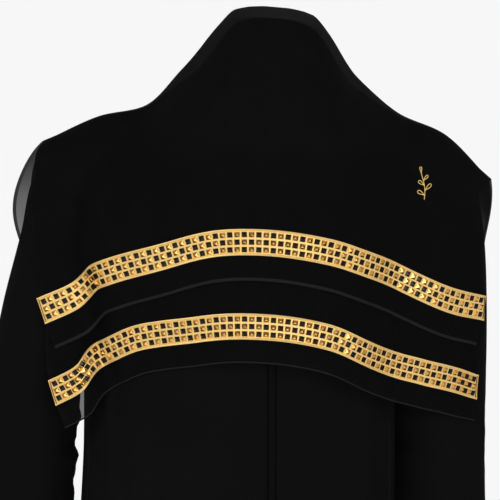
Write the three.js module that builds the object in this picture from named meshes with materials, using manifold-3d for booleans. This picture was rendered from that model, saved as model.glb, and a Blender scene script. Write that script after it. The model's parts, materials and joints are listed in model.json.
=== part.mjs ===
// A long black open-front robe with a studded scarf draped over its shoulders, as worn.
// Millimetres. +Z is up, +Y is the wearer's front, +X is the wearer's right.
// The origin is on the line of the shoulders, above the centre-back seam.
import * as THREE from "three";
import Module from "manifold-3d";
import { mergeVertices } from "three/addons/utils/BufferGeometryUtils.js";

const wasm = await Module();
wasm.setup();

// ---------------------------------------------------------------- driving dimensions
const CLOTH = 1.6; // wall of every robe panel, lining included
const SEAM = 0.4; // clearance where two sewn pieces meet
const ROBE_HEM = -1290; // height of the robe's hem
const CUFF_Z = -575; // height of the sleeve ends
const CUFF_DEPTH = 38; // height of the cuff bands
const ELBOW_Z = -345; // height of the elbows
const ELBOW_BEND = 62; // angle that the open fold in front of each elbow allows, degrees
const COLLAR_HEIGHT = 14;
const COLLAR_WALL = 2.2;
const SEAM_TAPE = 7.4; // width of the centre-back seam tape
const OPENING_X = -28; // where the two fronts meet
const PLACKET = 28; // width of the front bands
const STUD_RADIUS = 5; // press studs on the front bands
const STUD_PROUD = 0.5;
const STUD_COUNT = 5;
const STUD_TOP = -180;
const STUD_PITCH = 120;

const SCARF_WALL = 1.5; // thickness of one ply of the scarf
const PLY_STEP = 3.0; // distance between the middles of the two plies
const PLY_DROP = 91; // how much lower the under end hangs
const HEM_ROLL = 2.6; // height and thickness of the rolled hems
const HEM_TO_BAND = 24; // plain cloth below a stud band
const BAND_HEIGHT = 28;
const BAND_WALL = 1.1;
const STRAIGHT = 62; // the last stretch above a hem hangs plumb
const NECK_DEPTH = 56; // half the depth of the flat top over the neck
const NECK_SPAN = 0.42; // how far out that flat reaches, as a share of the scarf's half width
const SHOULDER_TILT = 0.17; // how much higher its front edge is beside the neck
const RIDGE_DEPTH = 4; // half the width of the fold line along the shoulders
const SCARF_COLUMNS = 20;
const MOTIF = { x: 162, z: -52, width: 18, height: 30 };

// ---------------------------------------------------------------- outlines of the form
// Robe body: height, left, right, back, front, roundness of the section.
const BODY = [
  [66, -50, 58, -56, 54, 2.0],
  [44, -88, 88, -68, 62, 1.8],
  [26, -126, 122, -78, 66, 1.7],
  [2, -188, 160, -88, 74, 1.7],
  [-40, -194, 160, -97, 90, 1.8],
  [-80, -192, 152, -103, 98, 1.9],
  [-150, -186, 136, -105, 106, 2.0],
  [-240, -190, 127, -101, 108, 2.1],
  [ELBOW_Z, -196, 124, -98, 110, 2.1],
  [-450, -202, 124, -100, 116, 2.1],
  [-575, -212, 140, -108, 126, 2.1],
  [-700, -226, 160, -116, 138, 2.1],
  [-900, -248, 190, -132, 156, 2.1],
  [-1100, -268, 220, -150, 172, 2.1],
  [ROBE_HEM, -288, 248, -166, 188, 2.1],
];
// Sleeves: height, left, right, back, front.
const LEFT_SLEEVE = [
  [0, -205, -150, -25, 25],
  [-14, -226, -145, -40, 44],
  [-50, -250, -150, -50, 52],
  [-110, -270, -166, -54, 52],
  [-190, -288, -196, -55, 42],
  [ELBOW_Z, -304, -208, -52, 48],
  [-440, -324, -218, -50, 62],
  [CUFF_Z, -350, -226, -46, 82],
];
const RIGHT_SLEEVE = [
  [0, 122, 172, -18, 34],
  [-14, 118, 190, -30, 50],
  [-50, 120, 206, -36, 62],
  [-110, 126, 214, -34, 62],
  [-190, 131, 220, -30, 58],
  [ELBOW_Z, 142, 230, -28, 62],
  [-440, 146, 236, -26, 72],
  [CUFF_Z, 160, 268, -24, 92],
];
// Scarf, across its width from -1 to 1: the fold line over the neck and shoulders.
const RIDGE = [
  [-1.0, -243, 3, -16],
  [-0.8, -188, 8, 10],
  [-0.6, -132, 8, 24.5],
  [-0.4, -93, 6, 62],
  [-0.2, -49, 5, 110],
  [0.0, 4, 5, 120],
  [0.2, 57, 5, 98],
  [0.4, 89, 6, 48],
  [0.6, 134, 8, 14.5],
  [0.8, 187, 8, -13],
  [1.0, 229, 3, -54],
];
// Hem of the upper end, on the wearer's back.
const BACK_HEM = [
  [-1.0, -252, -62, -227],
  [-0.85, -217, -70, -212],
  [-0.68, -190, -62, -195],
  [-0.365, -120, -91, -164],
  [-0.12, -60, -110, -140],
  [0.09, 0, -116, -138],
  [0.295, 60, -113, -150],
  [0.45, 100, -98, -166],
  [0.665, 150, -63, -194],
  [0.84, 190, -42, -216],
  [1.0, 224, -10, -232],
];
// Folded middle of the scarf, hanging in front.
const FRONT_FOLD = { x: -30, y: 131, z: -437, reach: 135, sweep: 36, ripple: 8, waves: 4 };

// ---------------------------------------------------------------- small geometry kit
function interpolate(rows, at) {
  // Smooth curve through the rows, whose first column is the parameter.
  const last = rows.length - 1;
  const rising = rows[last][0] > rows[0][0];
  let k = 0;
  while (k < last - 1 && (rising ? at > rows[k + 1][0] : at < rows[k + 1][0])) k += 1;
  const a = rows[k];
  const b = rows[k + 1];
  const span = b[0] - a[0];
  const t = Math.min(1, Math.max(0, (at - a[0]) / span));
  const slope = (i, j) => {
    const lo = rows[Math.max(0, i - 1)];
    const hi = rows[Math.min(last, i + 1)];
    return (hi[j] - lo[j]) / (hi[0] - lo[0]);
  };
  return a.slice(1).map((_, n) => {
    const j = n + 1;
    const h = t * t * (3 - 2 * t);
    const rise = t * (1 - t) * (1 - t) * slope(k, j) * span;
    const fall = t * t * (1 - t) * slope(k + 1, j) * span;
    return a[j] + (b[j] - a[j]) * h + rise - fall;
  });
}

function linear(rows, at) {
  let k = 0;
  while (k < rows.length - 2 && at < rows[k + 1][0]) k += 1;
  const t = (at - rows[k][0]) / (rows[k + 1][0] - rows[k][0]);
  return rows[k].slice(1).map((v, j) => v + (rows[k + 1][j + 1] - v) * t);
}

function section(bounds, roundness, inset, sides, heightAt) {
  // One closed, oval ring between left, right, back and front.
  const [left, right, back, front] = bounds;
  const cx = (left + right) / 2;
  const half = (right - left) / 2 - inset;
  return Array.from({ length: sides }, (_, i) => {
    const angle = (2 * Math.PI * i) / sides;
    const c = Math.cos(angle);
    const s = Math.sin(angle);
    const depth = s > 0 ? front - inset : -back - inset;
    const x = cx + half * Math.sign(c) * Math.abs(c) ** (2 / roundness);
    const y = depth * Math.sign(s) * Math.abs(s) ** (2 / roundness);
    return new THREE.Vector3(x, y, heightAt(x, y));
  });
}

function sleeveSection(bounds, inset, sides, heightAt) {
  const [left, right, back, front] = bounds;
  const rx = (right - left) / 2 - inset;
  const ry = (front - back) / 2 - inset;
  return Array.from({ length: sides }, (_, i) => {
    const angle = (2 * Math.PI * i) / sides;
    const x = (left + right) / 2 + rx * Math.cos(angle);
    const y = (front + back) / 2 + ry * Math.sin(angle);
    return new THREE.Vector3(x, y, heightAt(x, y));
  });
}

function solidFrom(points, triangles) {
  // A manifold solid from shared vertices, turned the right way out.
  let volume = 0;
  for (const [a, b, c] of triangles) {
    volume += points[a].dot(points[b].clone().cross(points[c]));
  }
  const faces = volume < 0 ? triangles.map(([a, b, c]) => [a, c, b]) : triangles;
  return new wasm.Manifold(
    new wasm.Mesh({
      numProp: 3,
      vertProperties: new Float32Array(points.flatMap((p) => [p.x, p.y, p.z])),
      triVerts: new Uint32Array(faces.flat()),
    })
  );
}

function loft(rings) {
  // A closed solid through a stack of rings with as many points each.
  const sides = rings[0].length;
  const points = rings.flat();
  const triangles = [];
  for (let r = 0; r < rings.length - 1; r += 1) {
    for (let i = 0; i < sides; i += 1) {
      const a = r * sides + i;
      const b = r * sides + ((i + 1) % sides);
      triangles.push([a, b, b + sides], [a, b + sides, a + sides]);
    }
  }
  for (const [ring, start] of [[rings[0], 0], [rings.at(-1), (rings.length - 1) * sides]]) {
    const centre = ring.reduce((sum, p) => sum.add(p), new THREE.Vector3()).divideScalar(sides);
    points.push(centre);
    for (let i = 0; i < sides; i += 1) {
      const pair = [start + i, start + ((i + 1) % sides)];
      if (start === 0) pair.reverse();
      triangles.push([pair[0], pair[1], points.length - 1]);
    }
  }
  return solidFrom(points, triangles);
}

function slab(lower, upper) {
  // A closed solid between two grids of points.
  const rows = lower.length;
  const columns = lower[0].length;
  const size = rows * columns;
  const at = (r, c, layer) => layer * size + r * columns + c;
  const triangles = [];
  const quad = (a, b, c, d) => triangles.push([a, b, c], [a, c, d]);
  for (let r = 0; r < rows - 1; r += 1) {
    for (let c = 0; c < columns - 1; c += 1) {
      quad(at(r, c, 0), at(r, c + 1, 0), at(r + 1, c + 1, 0), at(r + 1, c, 0));
      quad(at(r, c, 1), at(r + 1, c, 1), at(r + 1, c + 1, 1), at(r, c + 1, 1));
    }
    quad(at(r, 0, 0), at(r + 1, 0, 0), at(r + 1, 0, 1), at(r, 0, 1));
    const e = columns - 1;
    quad(at(r, e, 1), at(r + 1, e, 1), at(r + 1, e, 0), at(r, e, 0));
  }
  for (let c = 0; c < columns - 1; c += 1) {
    quad(at(0, c, 1), at(0, c + 1, 1), at(0, c + 1, 0), at(0, c, 0));
    const e = rows - 1;
    quad(at(e, c, 0), at(e, c + 1, 0), at(e, c + 1, 1), at(e, c, 1));
  }
  return solidFrom([...lower.flat(), ...upper.flat()], triangles);
}

function fromGeometry(geometry) {
  const bare = geometry.clone();
  bare.deleteAttribute("normal");
  bare.deleteAttribute("uv");
  const merged = mergeVertices(bare, 1e-4);
  const at = merged.getAttribute("position");
  const points = Array.from({ length: at.count }, (_, i) => {
    return new THREE.Vector3().fromBufferAttribute(at, i);
  });
  const index = Array.from(merged.index.array);
  const faces = Array.from({ length: index.length / 3 }, (_, i) => index.slice(3 * i, 3 * i + 3));
  return solidFrom(points, faces.filter(([a, b, c]) => a !== b && b !== c && a !== c));
}

function block(x0, x1, y0, y1, z0, z1) {
  const geometry = new THREE.BoxGeometry(x1 - x0, y1 - y0, z1 - z0);
  geometry.translate((x0 + x1) / 2, (y0 + y1) / 2, (z0 + z1) / 2);
  return fromGeometry(geometry);
}

const FAR = 2000;

// ---------------------------------------------------------------- scarf
const columnAt = (i) => -1 + (2 * i) / (SCARF_COLUMNS - 1);
const columns = Array.from({ length: SCARF_COLUMNS }, (_, i) => columnAt(i));

function ridgePoint(c, side) {
  const [x, y, z] = interpolate(RIDGE, c);
  const neck = Math.exp(-(Math.abs(c / NECK_SPAN) ** 2.5));
  const depth = side * (RIDGE_DEPTH + NECK_DEPTH * neck);
  return new THREE.Vector3(x, y + depth, z + SHOULDER_TILT * 4 * neck * (1 - neck) * depth);
}

function foldPoint(c) {
  const f = FRONT_FOLD;
  const wave = f.ripple * Math.cos(c * f.waves * Math.PI);
  return new THREE.Vector3(f.x + f.reach * c, f.y - f.sweep * c * c + wave, f.z);
}

function hang(from, to, c, side) {
  // Cloth that leaves the shoulder line and ends plumb.
  const long = from.distanceTo(to);
  const steep = THREE.MathUtils.degToRad(24 + 26 * Math.exp(-((c / 0.32) ** 2)));
  const start = new THREE.Vector3(
    0.5 * c ** 5,
    side * Math.cos(steep),
    -Math.sin(steep)
  ).multiplyScalar(long);
  const end = new THREE.Vector3(0, 0, -long);
  return (t) => {
    const h = t * t * (3 - 2 * t);
    return from
      .clone()
      .lerp(to, h)
      .addScaledVector(start, t * (1 - t) * (1 - t))
      .addScaledVector(end, -t * t * (1 - t));
  };
}

const DROP_STEPS = 5; // rows of cloth between the shoulder line and the plumb stretch

function scarfColumn(c) {
  // Points down one warp thread, from the under hem at the back to the fold in front.
  const [hx, hy, hz] = interpolate(BACK_HEM, c);
  const hem = new THREE.Vector3(hx, hy, hz);
  const above = (d) => hem.clone().setZ(hem.z + d);
  const plumb = [-PLY_DROP, -PLY_DROP + HEM_TO_BAND, -PLY_DROP + HEM_TO_BAND + BAND_HEIGHT];
  plumb.push(0, HEM_TO_BAND, HEM_TO_BAND + BAND_HEIGHT);
  const back = hang(ridgePoint(c, -1), above(STRAIGHT), c, -1);
  const fold = foldPoint(c);
  const front = hang(ridgePoint(c, 1), fold.clone().setZ(fold.z + STRAIGHT), c, 1);
  const steps = Array.from({ length: DROP_STEPS + 1 }, (_, i) => i / DROP_STEPS);
  return [
    ...plumb.map(above),
    ...steps.toReversed().map(back),
    ...steps.map(front),
    fold,
  ];
}

const weave = columns.map(scarfColumn); // [column][row]
const rowCount = weave[0].length;
const TOP_HEM_ROW = 3; // the row of the upper end's hem

function normalAt(i, j) {
  const left = weave[Math.max(0, i - 1)][j];
  const right = weave[Math.min(SCARF_COLUMNS - 1, i + 1)][j];
  const below = weave[i][Math.max(0, j - 1)];
  const above = weave[i][Math.min(rowCount - 1, j + 1)];
  const across = right.clone().sub(left);
  return across.cross(above.clone().sub(below)).normalize();
}

function layer(offset, first = 0, last = rowCount - 1, shift = 0) {
  // The scarf's surface moved outwards, as rows of points, and lifted by shift.
  const rows = [];
  for (let j = first; j <= last; j += 1) {
    rows.push(
      weave.map((column, i) => {
        const p = column[j].clone().addScaledVector(normalAt(i, j), offset);
        p.z += shift;
        return p;
      })
    );
  }
  return rows;
}

function strip(offset, row, heights) {
  // Rows at stated heights above one row of the plumb stretch.
  return heights.map((height) => layer(offset, row, row, height)[0]);
}

const half = SCARF_WALL / 2;
const underHalf = -PLY_STEP;
const BAND_LIFT = half + SEAM;
const topPly = slab(layer(-half, TOP_HEM_ROW), layer(half, TOP_HEM_ROW));
const underPly = slab(layer(underHalf - half), layer(underHalf + half));
const rollHeights = [-SEAM - HEM_ROLL, -SEAM];
const roll = HEM_ROLL / 2 - 0.2;
const topHem = slab(
  strip(-roll, TOP_HEM_ROW, rollHeights),
  strip(roll, TOP_HEM_ROW, rollHeights)
);
const underHem = slab(
  strip(underHalf - roll, 0, rollHeights),
  strip(underHalf + roll, 0, rollHeights)
);
const bandRows = [HEM_TO_BAND, HEM_TO_BAND + BAND_HEIGHT];
const topBand = slab(
  strip(BAND_LIFT, TOP_HEM_ROW, bandRows),
  strip(BAND_LIFT + BAND_WALL, TOP_HEM_ROW, bandRows)
);
const underBand = slab(
  strip(underHalf + BAND_LIFT, 0, bandRows),
  strip(underHalf + BAND_LIFT + BAND_WALL, 0, bandRows)
);
const frontFold = slab(
  strip(underHalf - half, rowCount - 1, rollHeights),
  strip(half, rowCount - 1, rollHeights)
);

const motifWindow = block(
  MOTIF.x - MOTIF.width / 2,
  MOTIF.x + MOTIF.width / 2,
  -FAR,
  0,
  MOTIF.z - MOTIF.height / 2,
  MOTIF.z + MOTIF.height / 2
);
const motif = slab(layer(BAND_LIFT, TOP_HEM_ROW), layer(BAND_LIFT + 0.7, TOP_HEM_ROW)).intersect(
  motifWindow
);

const PRESS_BELOW = 16; // the robe is kept clear this far below the under hem
function overScarf(depth) {
  // Everything from the scarf's inner face, less a depth, outwards: it presses the robe flat.
  const lower = layer(underHalf - roll - depth);
  lower.unshift(lower[0].map((p) => p.clone().setZ(p.z - PRESS_BELOW)));
  const upper = lower.map((row) =>
    row.map((p) => {
      const axis = new THREE.Vector3(-15, 0, Math.min(p.z, -40));
      return p.clone().addScaledVector(p.clone().sub(axis).normalize(), 60);
    })
  );
  return slab(lower, upper);
}
const pressOuter = overScarf(SEAM);
const pressInner = overScarf(SEAM + CLOTH);

// ---------------------------------------------------------------- robe
const BODY_SIDES = 36;
const SLEEVE_SIDES = 16;

function bodySolid(inset, beyond = 0) {
  const rings = BODY.map(([z, ...row]) => {
    return section(row.slice(0, 4), row[4], inset, BODY_SIDES, () => z);
  });
  if (beyond > 0) {
    rings.unshift(rings[0].map((p) => p.clone().setZ(p.z + beyond)));
    rings.push(rings.at(-1).map((p) => p.clone().setZ(p.z - beyond)));
  }
  return loft(rings);
}

const bodyOuter = bodySolid(0).subtract(pressOuter);
const bodyInner = bodySolid(CLOTH, 30).subtract(pressInner);
const bodyGrown = bodySolid(-SEAM);
const shell = bodyOuter.subtract(bodyInner);

const bendSlope = Math.tan(THREE.MathUtils.degToRad(ELBOW_BEND / 2 + 1));

function sleevePart(rows, from, to, inset, beyond, slopes) {
  // The part of a sleeve between two heights; a slope tilts that end up or down in front.
  const inside = rows.map((row) => row[0]).filter((z) => z < from - 6 && z > to + 6);
  const heights = [from, ...inside, to];
  const rings = heights.map((z, k) => {
    const bounds = linear(rows, z);
    const end = k === 0 ? slopes[0] : k === heights.length - 1 ? slopes[1] : 0;
    const shift = k === 0 ? beyond[0] : k === heights.length - 1 ? -beyond[1] : 0;
    return sleeveSection(bounds, inset, SLEEVE_SIDES, (x, y) => {
      return z + shift + end * (y - bounds[2]);
    });
  });
  return loft(rings);
}

function sleeveShell(rows, from, to, slopes) {
  const outer = sleevePart(rows, from, to, 0, [0, 0], slopes);
  const inner = sleevePart(rows, from, to, CLOTH, [from < -1 ? 5 : -CLOTH, 5], slopes);
  return { outer, inner };
}

function sleevePieces(side, rows) {
  const cuffTop = CUFF_Z + CUFF_DEPTH;
  const upper = sleeveShell(rows, 0, ELBOW_Z + SEAM / 2, [0, bendSlope]);
  const lower = sleeveShell(rows, ELBOW_Z - SEAM / 2, cuffTop, [-bendSlope, 0]);
  const cuff = sleeveShell(rows, cuffTop - SEAM, CUFF_Z, [0, 0]);
  const worn = upper.outer.subtract(pressOuter).subtract(upper.inner.subtract(pressInner));
  return {
    core: upper.inner,
    pieces: {
      [`${side}_upper_sleeve`]: worn.subtract(bodyGrown),
      [`${side}_lower_sleeve`]: lower.outer.subtract(lower.inner),
      [`${side}_cuff_band`]: cuff.outer.subtract(cuff.inner),
    },
  };
}

const leftSleeve = sleevePieces("left", LEFT_SLEEVE);
const rightSleeve = sleevePieces("right", RIGHT_SLEEVE);
const cloth = shell.subtract(leftSleeve.core).subtract(rightSleeve.core);

const gap = SEAM / 2;
const tape = SEAM_TAPE / 2;
const placketLeft = OPENING_X - PLACKET / 2;
const placketRight = OPENING_X + PLACKET / 2;
const robe = {
  back_left_panel: cloth.intersect(block(-FAR, -tape - SEAM, -FAR, -gap, -FAR, FAR)),
  back_right_panel: cloth.intersect(block(tape + SEAM, FAR, -FAR, -gap, -FAR, FAR)),
  centre_back_seam_tape: cloth.intersect(block(-tape, tape, -FAR, -gap, -FAR, FAR)),
  front_left_panel: cloth.intersect(block(-FAR, placketLeft - SEAM, gap, FAR, -FAR, FAR)),
  front_right_panel: cloth.intersect(block(placketRight + SEAM, FAR, gap, FAR, -FAR, FAR)),
};

// The front bands lap over each other and are held by press studs through the cloth.
const overBand = cloth.intersect(block(placketLeft, placketRight, gap, FAR, -FAR, FAR));
const lapOuter = bodySolid(CLOTH + SEAM);
const lapInner = bodySolid(2 * CLOTH + SEAM, 30);
const lapWindow = block(placketLeft - 12, placketRight - 2, gap, FAR, ROBE_HEM + 2, 60);
const lapBand = lapOuter.subtract(lapInner).intersect(lapWindow);

function frontAt(z, inset) {
  // The front of the body at the opening, and how much it leans there.
  const depth = (at) => {
    const [left, right, , front, roundness] = linear(BODY, at);
    const across = Math.abs(OPENING_X - (left + right) / 2) / ((right - left) / 2 - inset);
    return (front - inset) * (1 - across ** roundness) ** (1 / roundness);
  };
  return { y: depth(z), lean: Math.atan((depth(z - 10) - depth(z + 10)) / 20) };
}

function disc(z, radius, from, to) {
  // A flat disc across the front cloth, between two distances out from its face.
  const { y, lean } = frontAt(z, 0);
  const geometry = new THREE.CylinderGeometry(radius, radius, to - from, 12);
  geometry.translate(0, (from + to) / 2, 0);
  geometry.rotateX(lean);
  geometry.translate(OPENING_X, y, z);
  return fromGeometry(geometry);
}

const studs = {};
let overHoles = overBand;
let lapHoles = lapBand;
for (let k = 0; k < STUD_COUNT; k += 1) {
  const z = STUD_TOP - k * STUD_PITCH;
  const hole = disc(z, STUD_RADIUS + 0.6, -12, 8);
  overHoles = overHoles.subtract(hole);
  lapHoles = lapHoles.subtract(hole);
  studs[`press_stud_socket_${k + 1}`] = disc(z, STUD_RADIUS, -CLOTH, STUD_PROUD);
  const back = -2 * CLOTH - SEAM - STUD_PROUD;
  studs[`press_stud_ball_${k + 1}`] = disc(z, STUD_RADIUS, back, -CLOTH - SEAM);
}
robe.front_over_band = overHoles;
robe.front_under_band = lapHoles;

const NECK = BODY[0];
function collarRing(lift, narrower) {
  const bounds = NECK.slice(1, 5);
  return section(bounds, NECK[5], narrower, BODY_SIDES, () => NECK[0] + SEAM + lift);
}
const collarOuter = loft([collarRing(0, 0), collarRing(COLLAR_HEIGHT, 4)]);
const collarInner = loft([
  collarRing(-5, COLLAR_WALL),
  collarRing(COLLAR_HEIGHT + 5, COLLAR_WALL + 4),
]);
robe.collar_band = collarOuter.subtract(collarInner).subtract(pressOuter);

function collarBack(x, height, wall) {
  const narrower = wall + (4 * height) / COLLAR_HEIGHT;
  const a = (NECK[2] - NECK[1]) / 2 - narrower;
  const b = -NECK[3] - narrower;
  return -b * Math.sqrt(1 - ((x - (NECK[1] + NECK[2]) / 2) / a) ** 2);
}
const LOOP_RADIUS = 1.2;
const LOOP_HALF = 24;
const loopX = (NECK[1] + NECK[2]) / 2;
const SEWN = SEAM + 0.3; // from the collar's inner wall to what is sewn on it
const SEWN_HEIGHT = 10; // above the collar's foot
const sewnTop = NECK[0] + SEAM + SEWN_HEIGHT;
const loopEnd = collarBack(loopX + LOOP_HALF, SEWN_HEIGHT, COLLAR_WALL) + SEWN + LOOP_RADIUS;
const loopPath = new THREE.CatmullRomCurve3(
  [
    [-LOOP_HALF, 0, sewnTop],
    [-LOOP_HALF + 3, 1, sewnTop - 16],
    [0, 1, sewnTop - 26],
    [LOOP_HALF - 3, 1, sewnTop - 16],
    [LOOP_HALF, 0, sewnTop],
  ].map(([x, y, z]) => new THREE.Vector3(loopX + x, loopEnd + y, z))
);
const loopSection = new THREE.Shape(
  Array.from({ length: 8 }, (_, i) => {
    const angle = (Math.PI * i) / 4;
    return new THREE.Vector2(LOOP_RADIUS * Math.cos(angle), LOOP_RADIUS * Math.sin(angle));
  })
);
robe.hanger_loop = fromGeometry(
  new THREE.ExtrudeGeometry(loopSection, { steps: 16, extrudePath: loopPath, bevelEnabled: false })
);
const LABEL = { half: 15, height: 32, wall: 0.6 };
const labelEdge = collarBack(loopX + LABEL.half, SEWN_HEIGHT, COLLAR_WALL) + SEWN;
robe.blank_label = block(
  loopX - LABEL.half,
  loopX + LABEL.half,
  labelEdge,
  labelEdge + LABEL.wall,
  sewnTop - LABEL.height,
  sewnTop
);

// ---------------------------------------------------------------- materials and assembly
const FINISH = {
  robe: { color: 0x151517, roughness: 0.86, metalness: 0 },
  scarf: { color: 0x0d0d10, roughness: 0.7, metalness: 0 },
  trim: { color: 0x111113, roughness: 0.8, metalness: 0 },
  gold: { color: 0xd8a247, roughness: 0.32, metalness: 0.85 },
  thread: { color: 0xb98a3a, roughness: 0.5, metalness: 0.4 },
  steel: { color: 0x2a2a2c, roughness: 0.4, metalness: 0.9 },
  label: { color: 0xd9d6cf, roughness: 0.8, metalness: 0 },
};

const model = new THREE.Group();
function add(name, solid, finish) {
  const { vertProperties, triVerts, numProp } = solid.getMesh();
  const geometry = new THREE.BufferGeometry();
  const xyz = [];
  for (let i = 0; i < vertProperties.length; i += numProp) {
    xyz.push(vertProperties[i], vertProperties[i + 1], vertProperties[i + 2]);
  }
  geometry.setAttribute("position", new THREE.Float32BufferAttribute(xyz, 3));
  geometry.setIndex(Array.from(triVerts));
  const mesh = new THREE.Mesh(geometry, new THREE.MeshStandardMaterial(FINISH[finish]));
  mesh.name = name;
  model.add(mesh);
}

const ROBE_FINISH = {
  centre_back_seam_tape: "trim",
  collar_band: "trim",
  hanger_loop: "trim",
  blank_label: "label",
};
for (const [name, solid] of Object.entries(robe)) add(name, solid, ROBE_FINISH[name] ?? "robe");
for (const [name, solid] of Object.entries(studs)) add(name, solid, "steel");
for (const { pieces } of [leftSleeve, rightSleeve]) {
  for (const [name, solid] of Object.entries(pieces)) add(name, solid, "robe");
}
add("scarf_upper_ply", topPly, "scarf");
add("scarf_under_ply", underPly, "scarf");
add("scarf_front_fold", frontFold, "scarf");
add("scarf_upper_hem", topHem, "trim");
add("scarf_under_hem", underHem, "trim");
add("upper_stud_band", topBand, "gold");
add("under_stud_band", underBand, "gold");
add("embroidered_motif", motif, "thread");

export default model;
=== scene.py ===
# %% [markdown]
# # A long black robe with a studded scarf over its shoulders
# The robe is crepe with a centre-back seam, set-in sleeves, a stand collar and a front that
# closes with press studs. The scarf is one length of sheer chiffon, folded in half over the
# shoulders, so that two plies hang down the back, each with a band of pyramid studs above
# its rolled hem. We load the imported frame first, because every piece sits in its space.

# %% Load the frame
import json
import math

import bpy
import numpy as np
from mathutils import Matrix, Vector
from mathutils.bvhtree import BVHTree

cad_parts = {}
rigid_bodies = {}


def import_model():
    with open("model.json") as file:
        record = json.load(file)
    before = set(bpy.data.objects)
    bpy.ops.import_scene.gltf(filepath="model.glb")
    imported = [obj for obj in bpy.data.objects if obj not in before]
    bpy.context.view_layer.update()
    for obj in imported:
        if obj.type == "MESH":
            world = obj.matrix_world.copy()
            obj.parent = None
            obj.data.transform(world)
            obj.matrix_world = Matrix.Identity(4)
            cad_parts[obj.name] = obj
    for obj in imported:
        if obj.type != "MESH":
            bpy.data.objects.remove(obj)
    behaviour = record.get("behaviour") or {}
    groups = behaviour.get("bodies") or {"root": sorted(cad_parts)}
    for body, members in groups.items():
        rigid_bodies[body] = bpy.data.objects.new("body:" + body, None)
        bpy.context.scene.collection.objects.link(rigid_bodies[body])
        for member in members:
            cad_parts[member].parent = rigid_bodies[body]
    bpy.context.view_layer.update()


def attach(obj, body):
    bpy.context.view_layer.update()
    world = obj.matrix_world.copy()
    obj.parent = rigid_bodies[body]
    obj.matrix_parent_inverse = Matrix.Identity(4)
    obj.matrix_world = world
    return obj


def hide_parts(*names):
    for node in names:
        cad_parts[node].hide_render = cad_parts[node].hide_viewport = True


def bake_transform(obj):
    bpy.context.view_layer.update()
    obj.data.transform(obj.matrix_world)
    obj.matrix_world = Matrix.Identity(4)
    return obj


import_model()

# %% [markdown]
# The camera stands behind the robe, a little above the shoulders, with a long lens that
# keeps the bands almost flat in the view. The room is a bright, even studio: a white sweep
# that is brighter low down, a pale round floor and large soft lamps.

# %% Camera
VIEW_TARGET = Vector((-0.0235, -0.05, -0.1207))
VIEW_TILT = math.radians(11)
VIEW_DISTANCE = 3.0
LENS = 202


def toward(start, target):
    """The turn that points a lamp or camera from one place at another."""
    return (Vector(target) - Vector(start)).to_track_quat("-Z", "Y").to_euler()


def add_camera():
    camera = bpy.data.objects.new("camera", bpy.data.cameras.new("camera"))
    camera.data.lens = LENS
    back = Vector((0, -math.cos(VIEW_TILT), math.sin(VIEW_TILT)))
    camera.location = VIEW_TARGET + back * VIEW_DISTANCE
    camera.rotation_euler = toward(camera.location, VIEW_TARGET)
    bpy.context.scene.collection.objects.link(camera)
    bpy.context.scene.camera = camera


add_camera()
print("camera", VIEW_DISTANCE, "m away with a lens of", LENS, "mm")

# %% [markdown]
# Four area lamps stand in for the studio's soft boxes. Three light the object from its own
# side of the room, and one lights the front, so that no side is lost in the dark. Large
# lamps give soft edges, which suits matt cloth.


# %% Lamps
def add_lamp(name, place, target, size, watts, tint=(1, 1, 1)):
    lamp = bpy.data.objects.new(name, bpy.data.lights.new(name, "AREA"))
    lamp.data.size, lamp.data.energy, lamp.data.color = size, watts, tint
    lamp.location, lamp.rotation_euler = place, toward(place, target)
    bpy.context.scene.collection.objects.link(lamp)


add_lamp("key", (-2.2, -2.4, 1.9), (0, 0, -0.3), 1.6, 55)
add_lamp("fill", (2.4, -1.6, 0.9), (0, 0, -0.4), 2.0, 22)
add_lamp("front", (0.6, 3.0, 1.2), (0, 0, -0.4), 2.0, 50)
add_lamp("low", (0.2, -2.6, -1.0), (0, 0, -0.2), 1.2, 16)
bpy.context.scene.view_settings.view_transform = "Standard"
print("studio of", len(bpy.data.lights), "lamps")

# %% [markdown]
# Two small classes make every node tree below. A Wire is one socket, and Python's own
# arithmetic on wires adds Math nodes. A Graph adds any node from its type, its settings and
# the values or wires of its sockets. Both serve materials and Geometry Nodes alike.


# %% Wires
class Wire:
    """One socket that sums, products and comparisons can be written with."""

    def __init__(self, graph, socket):
        self.graph, self.socket = graph, socket

    def out(self, name):
        return Wire(self.graph, self.socket.node.outputs[name])

    def maths(self, operation, *values):
        return self.graph.node(
            "ShaderNodeMath", {"operation": operation}, dict(enumerate(values))
        )

    def __add__(self, other):
        return self.maths("ADD", self, other)

    def __sub__(self, other):
        return self.maths("SUBTRACT", self, other)

    def __rsub__(self, other):
        return self.maths("SUBTRACT", other, self)

    def __mul__(self, other):
        return self.maths("MULTIPLY", self, other)

    def __truediv__(self, other):
        return self.maths("DIVIDE", self, other)

    def __mod__(self, other):
        return self.maths("MODULO", self, other)

    def __lt__(self, other):
        return self.maths("LESS_THAN", self, other)

    def __gt__(self, other):
        return self.maths("GREATER_THAN", self, other)

    __radd__, __rmul__ = __add__, __mul__


print("a wire takes + - * / % < and >")


# %% Graphs
class Graph:
    """A node tree that grows one node at a time."""

    def __init__(self, tree):
        self.tree = tree

    def node(self, kind, settings=(), sockets=(), output=0):
        made = self.tree.nodes.new(kind)
        for key, value in dict(settings).items():
            if key == "stops":
                for stop, (place, colour) in zip(made.color_ramp.elements, value):
                    stop.position, stop.color = place, colour
            else:
                setattr(made, key, value)
        for key, value in dict(sockets).items():
            if isinstance(value, Wire):
                self.tree.links.new(value.socket, made.inputs[key])
            else:
                made.inputs[key].default_value = value
        return Wire(self, made.outputs[output]) if made.outputs else made


print("a graph grows nodes for shaders, the world and geometry")

# %% [markdown]
# The room around the object is one smooth ramp, white below and pale grey above. A ramp on
# the height of each direction is enough, because matt cloth shows no picture of the room.


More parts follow.
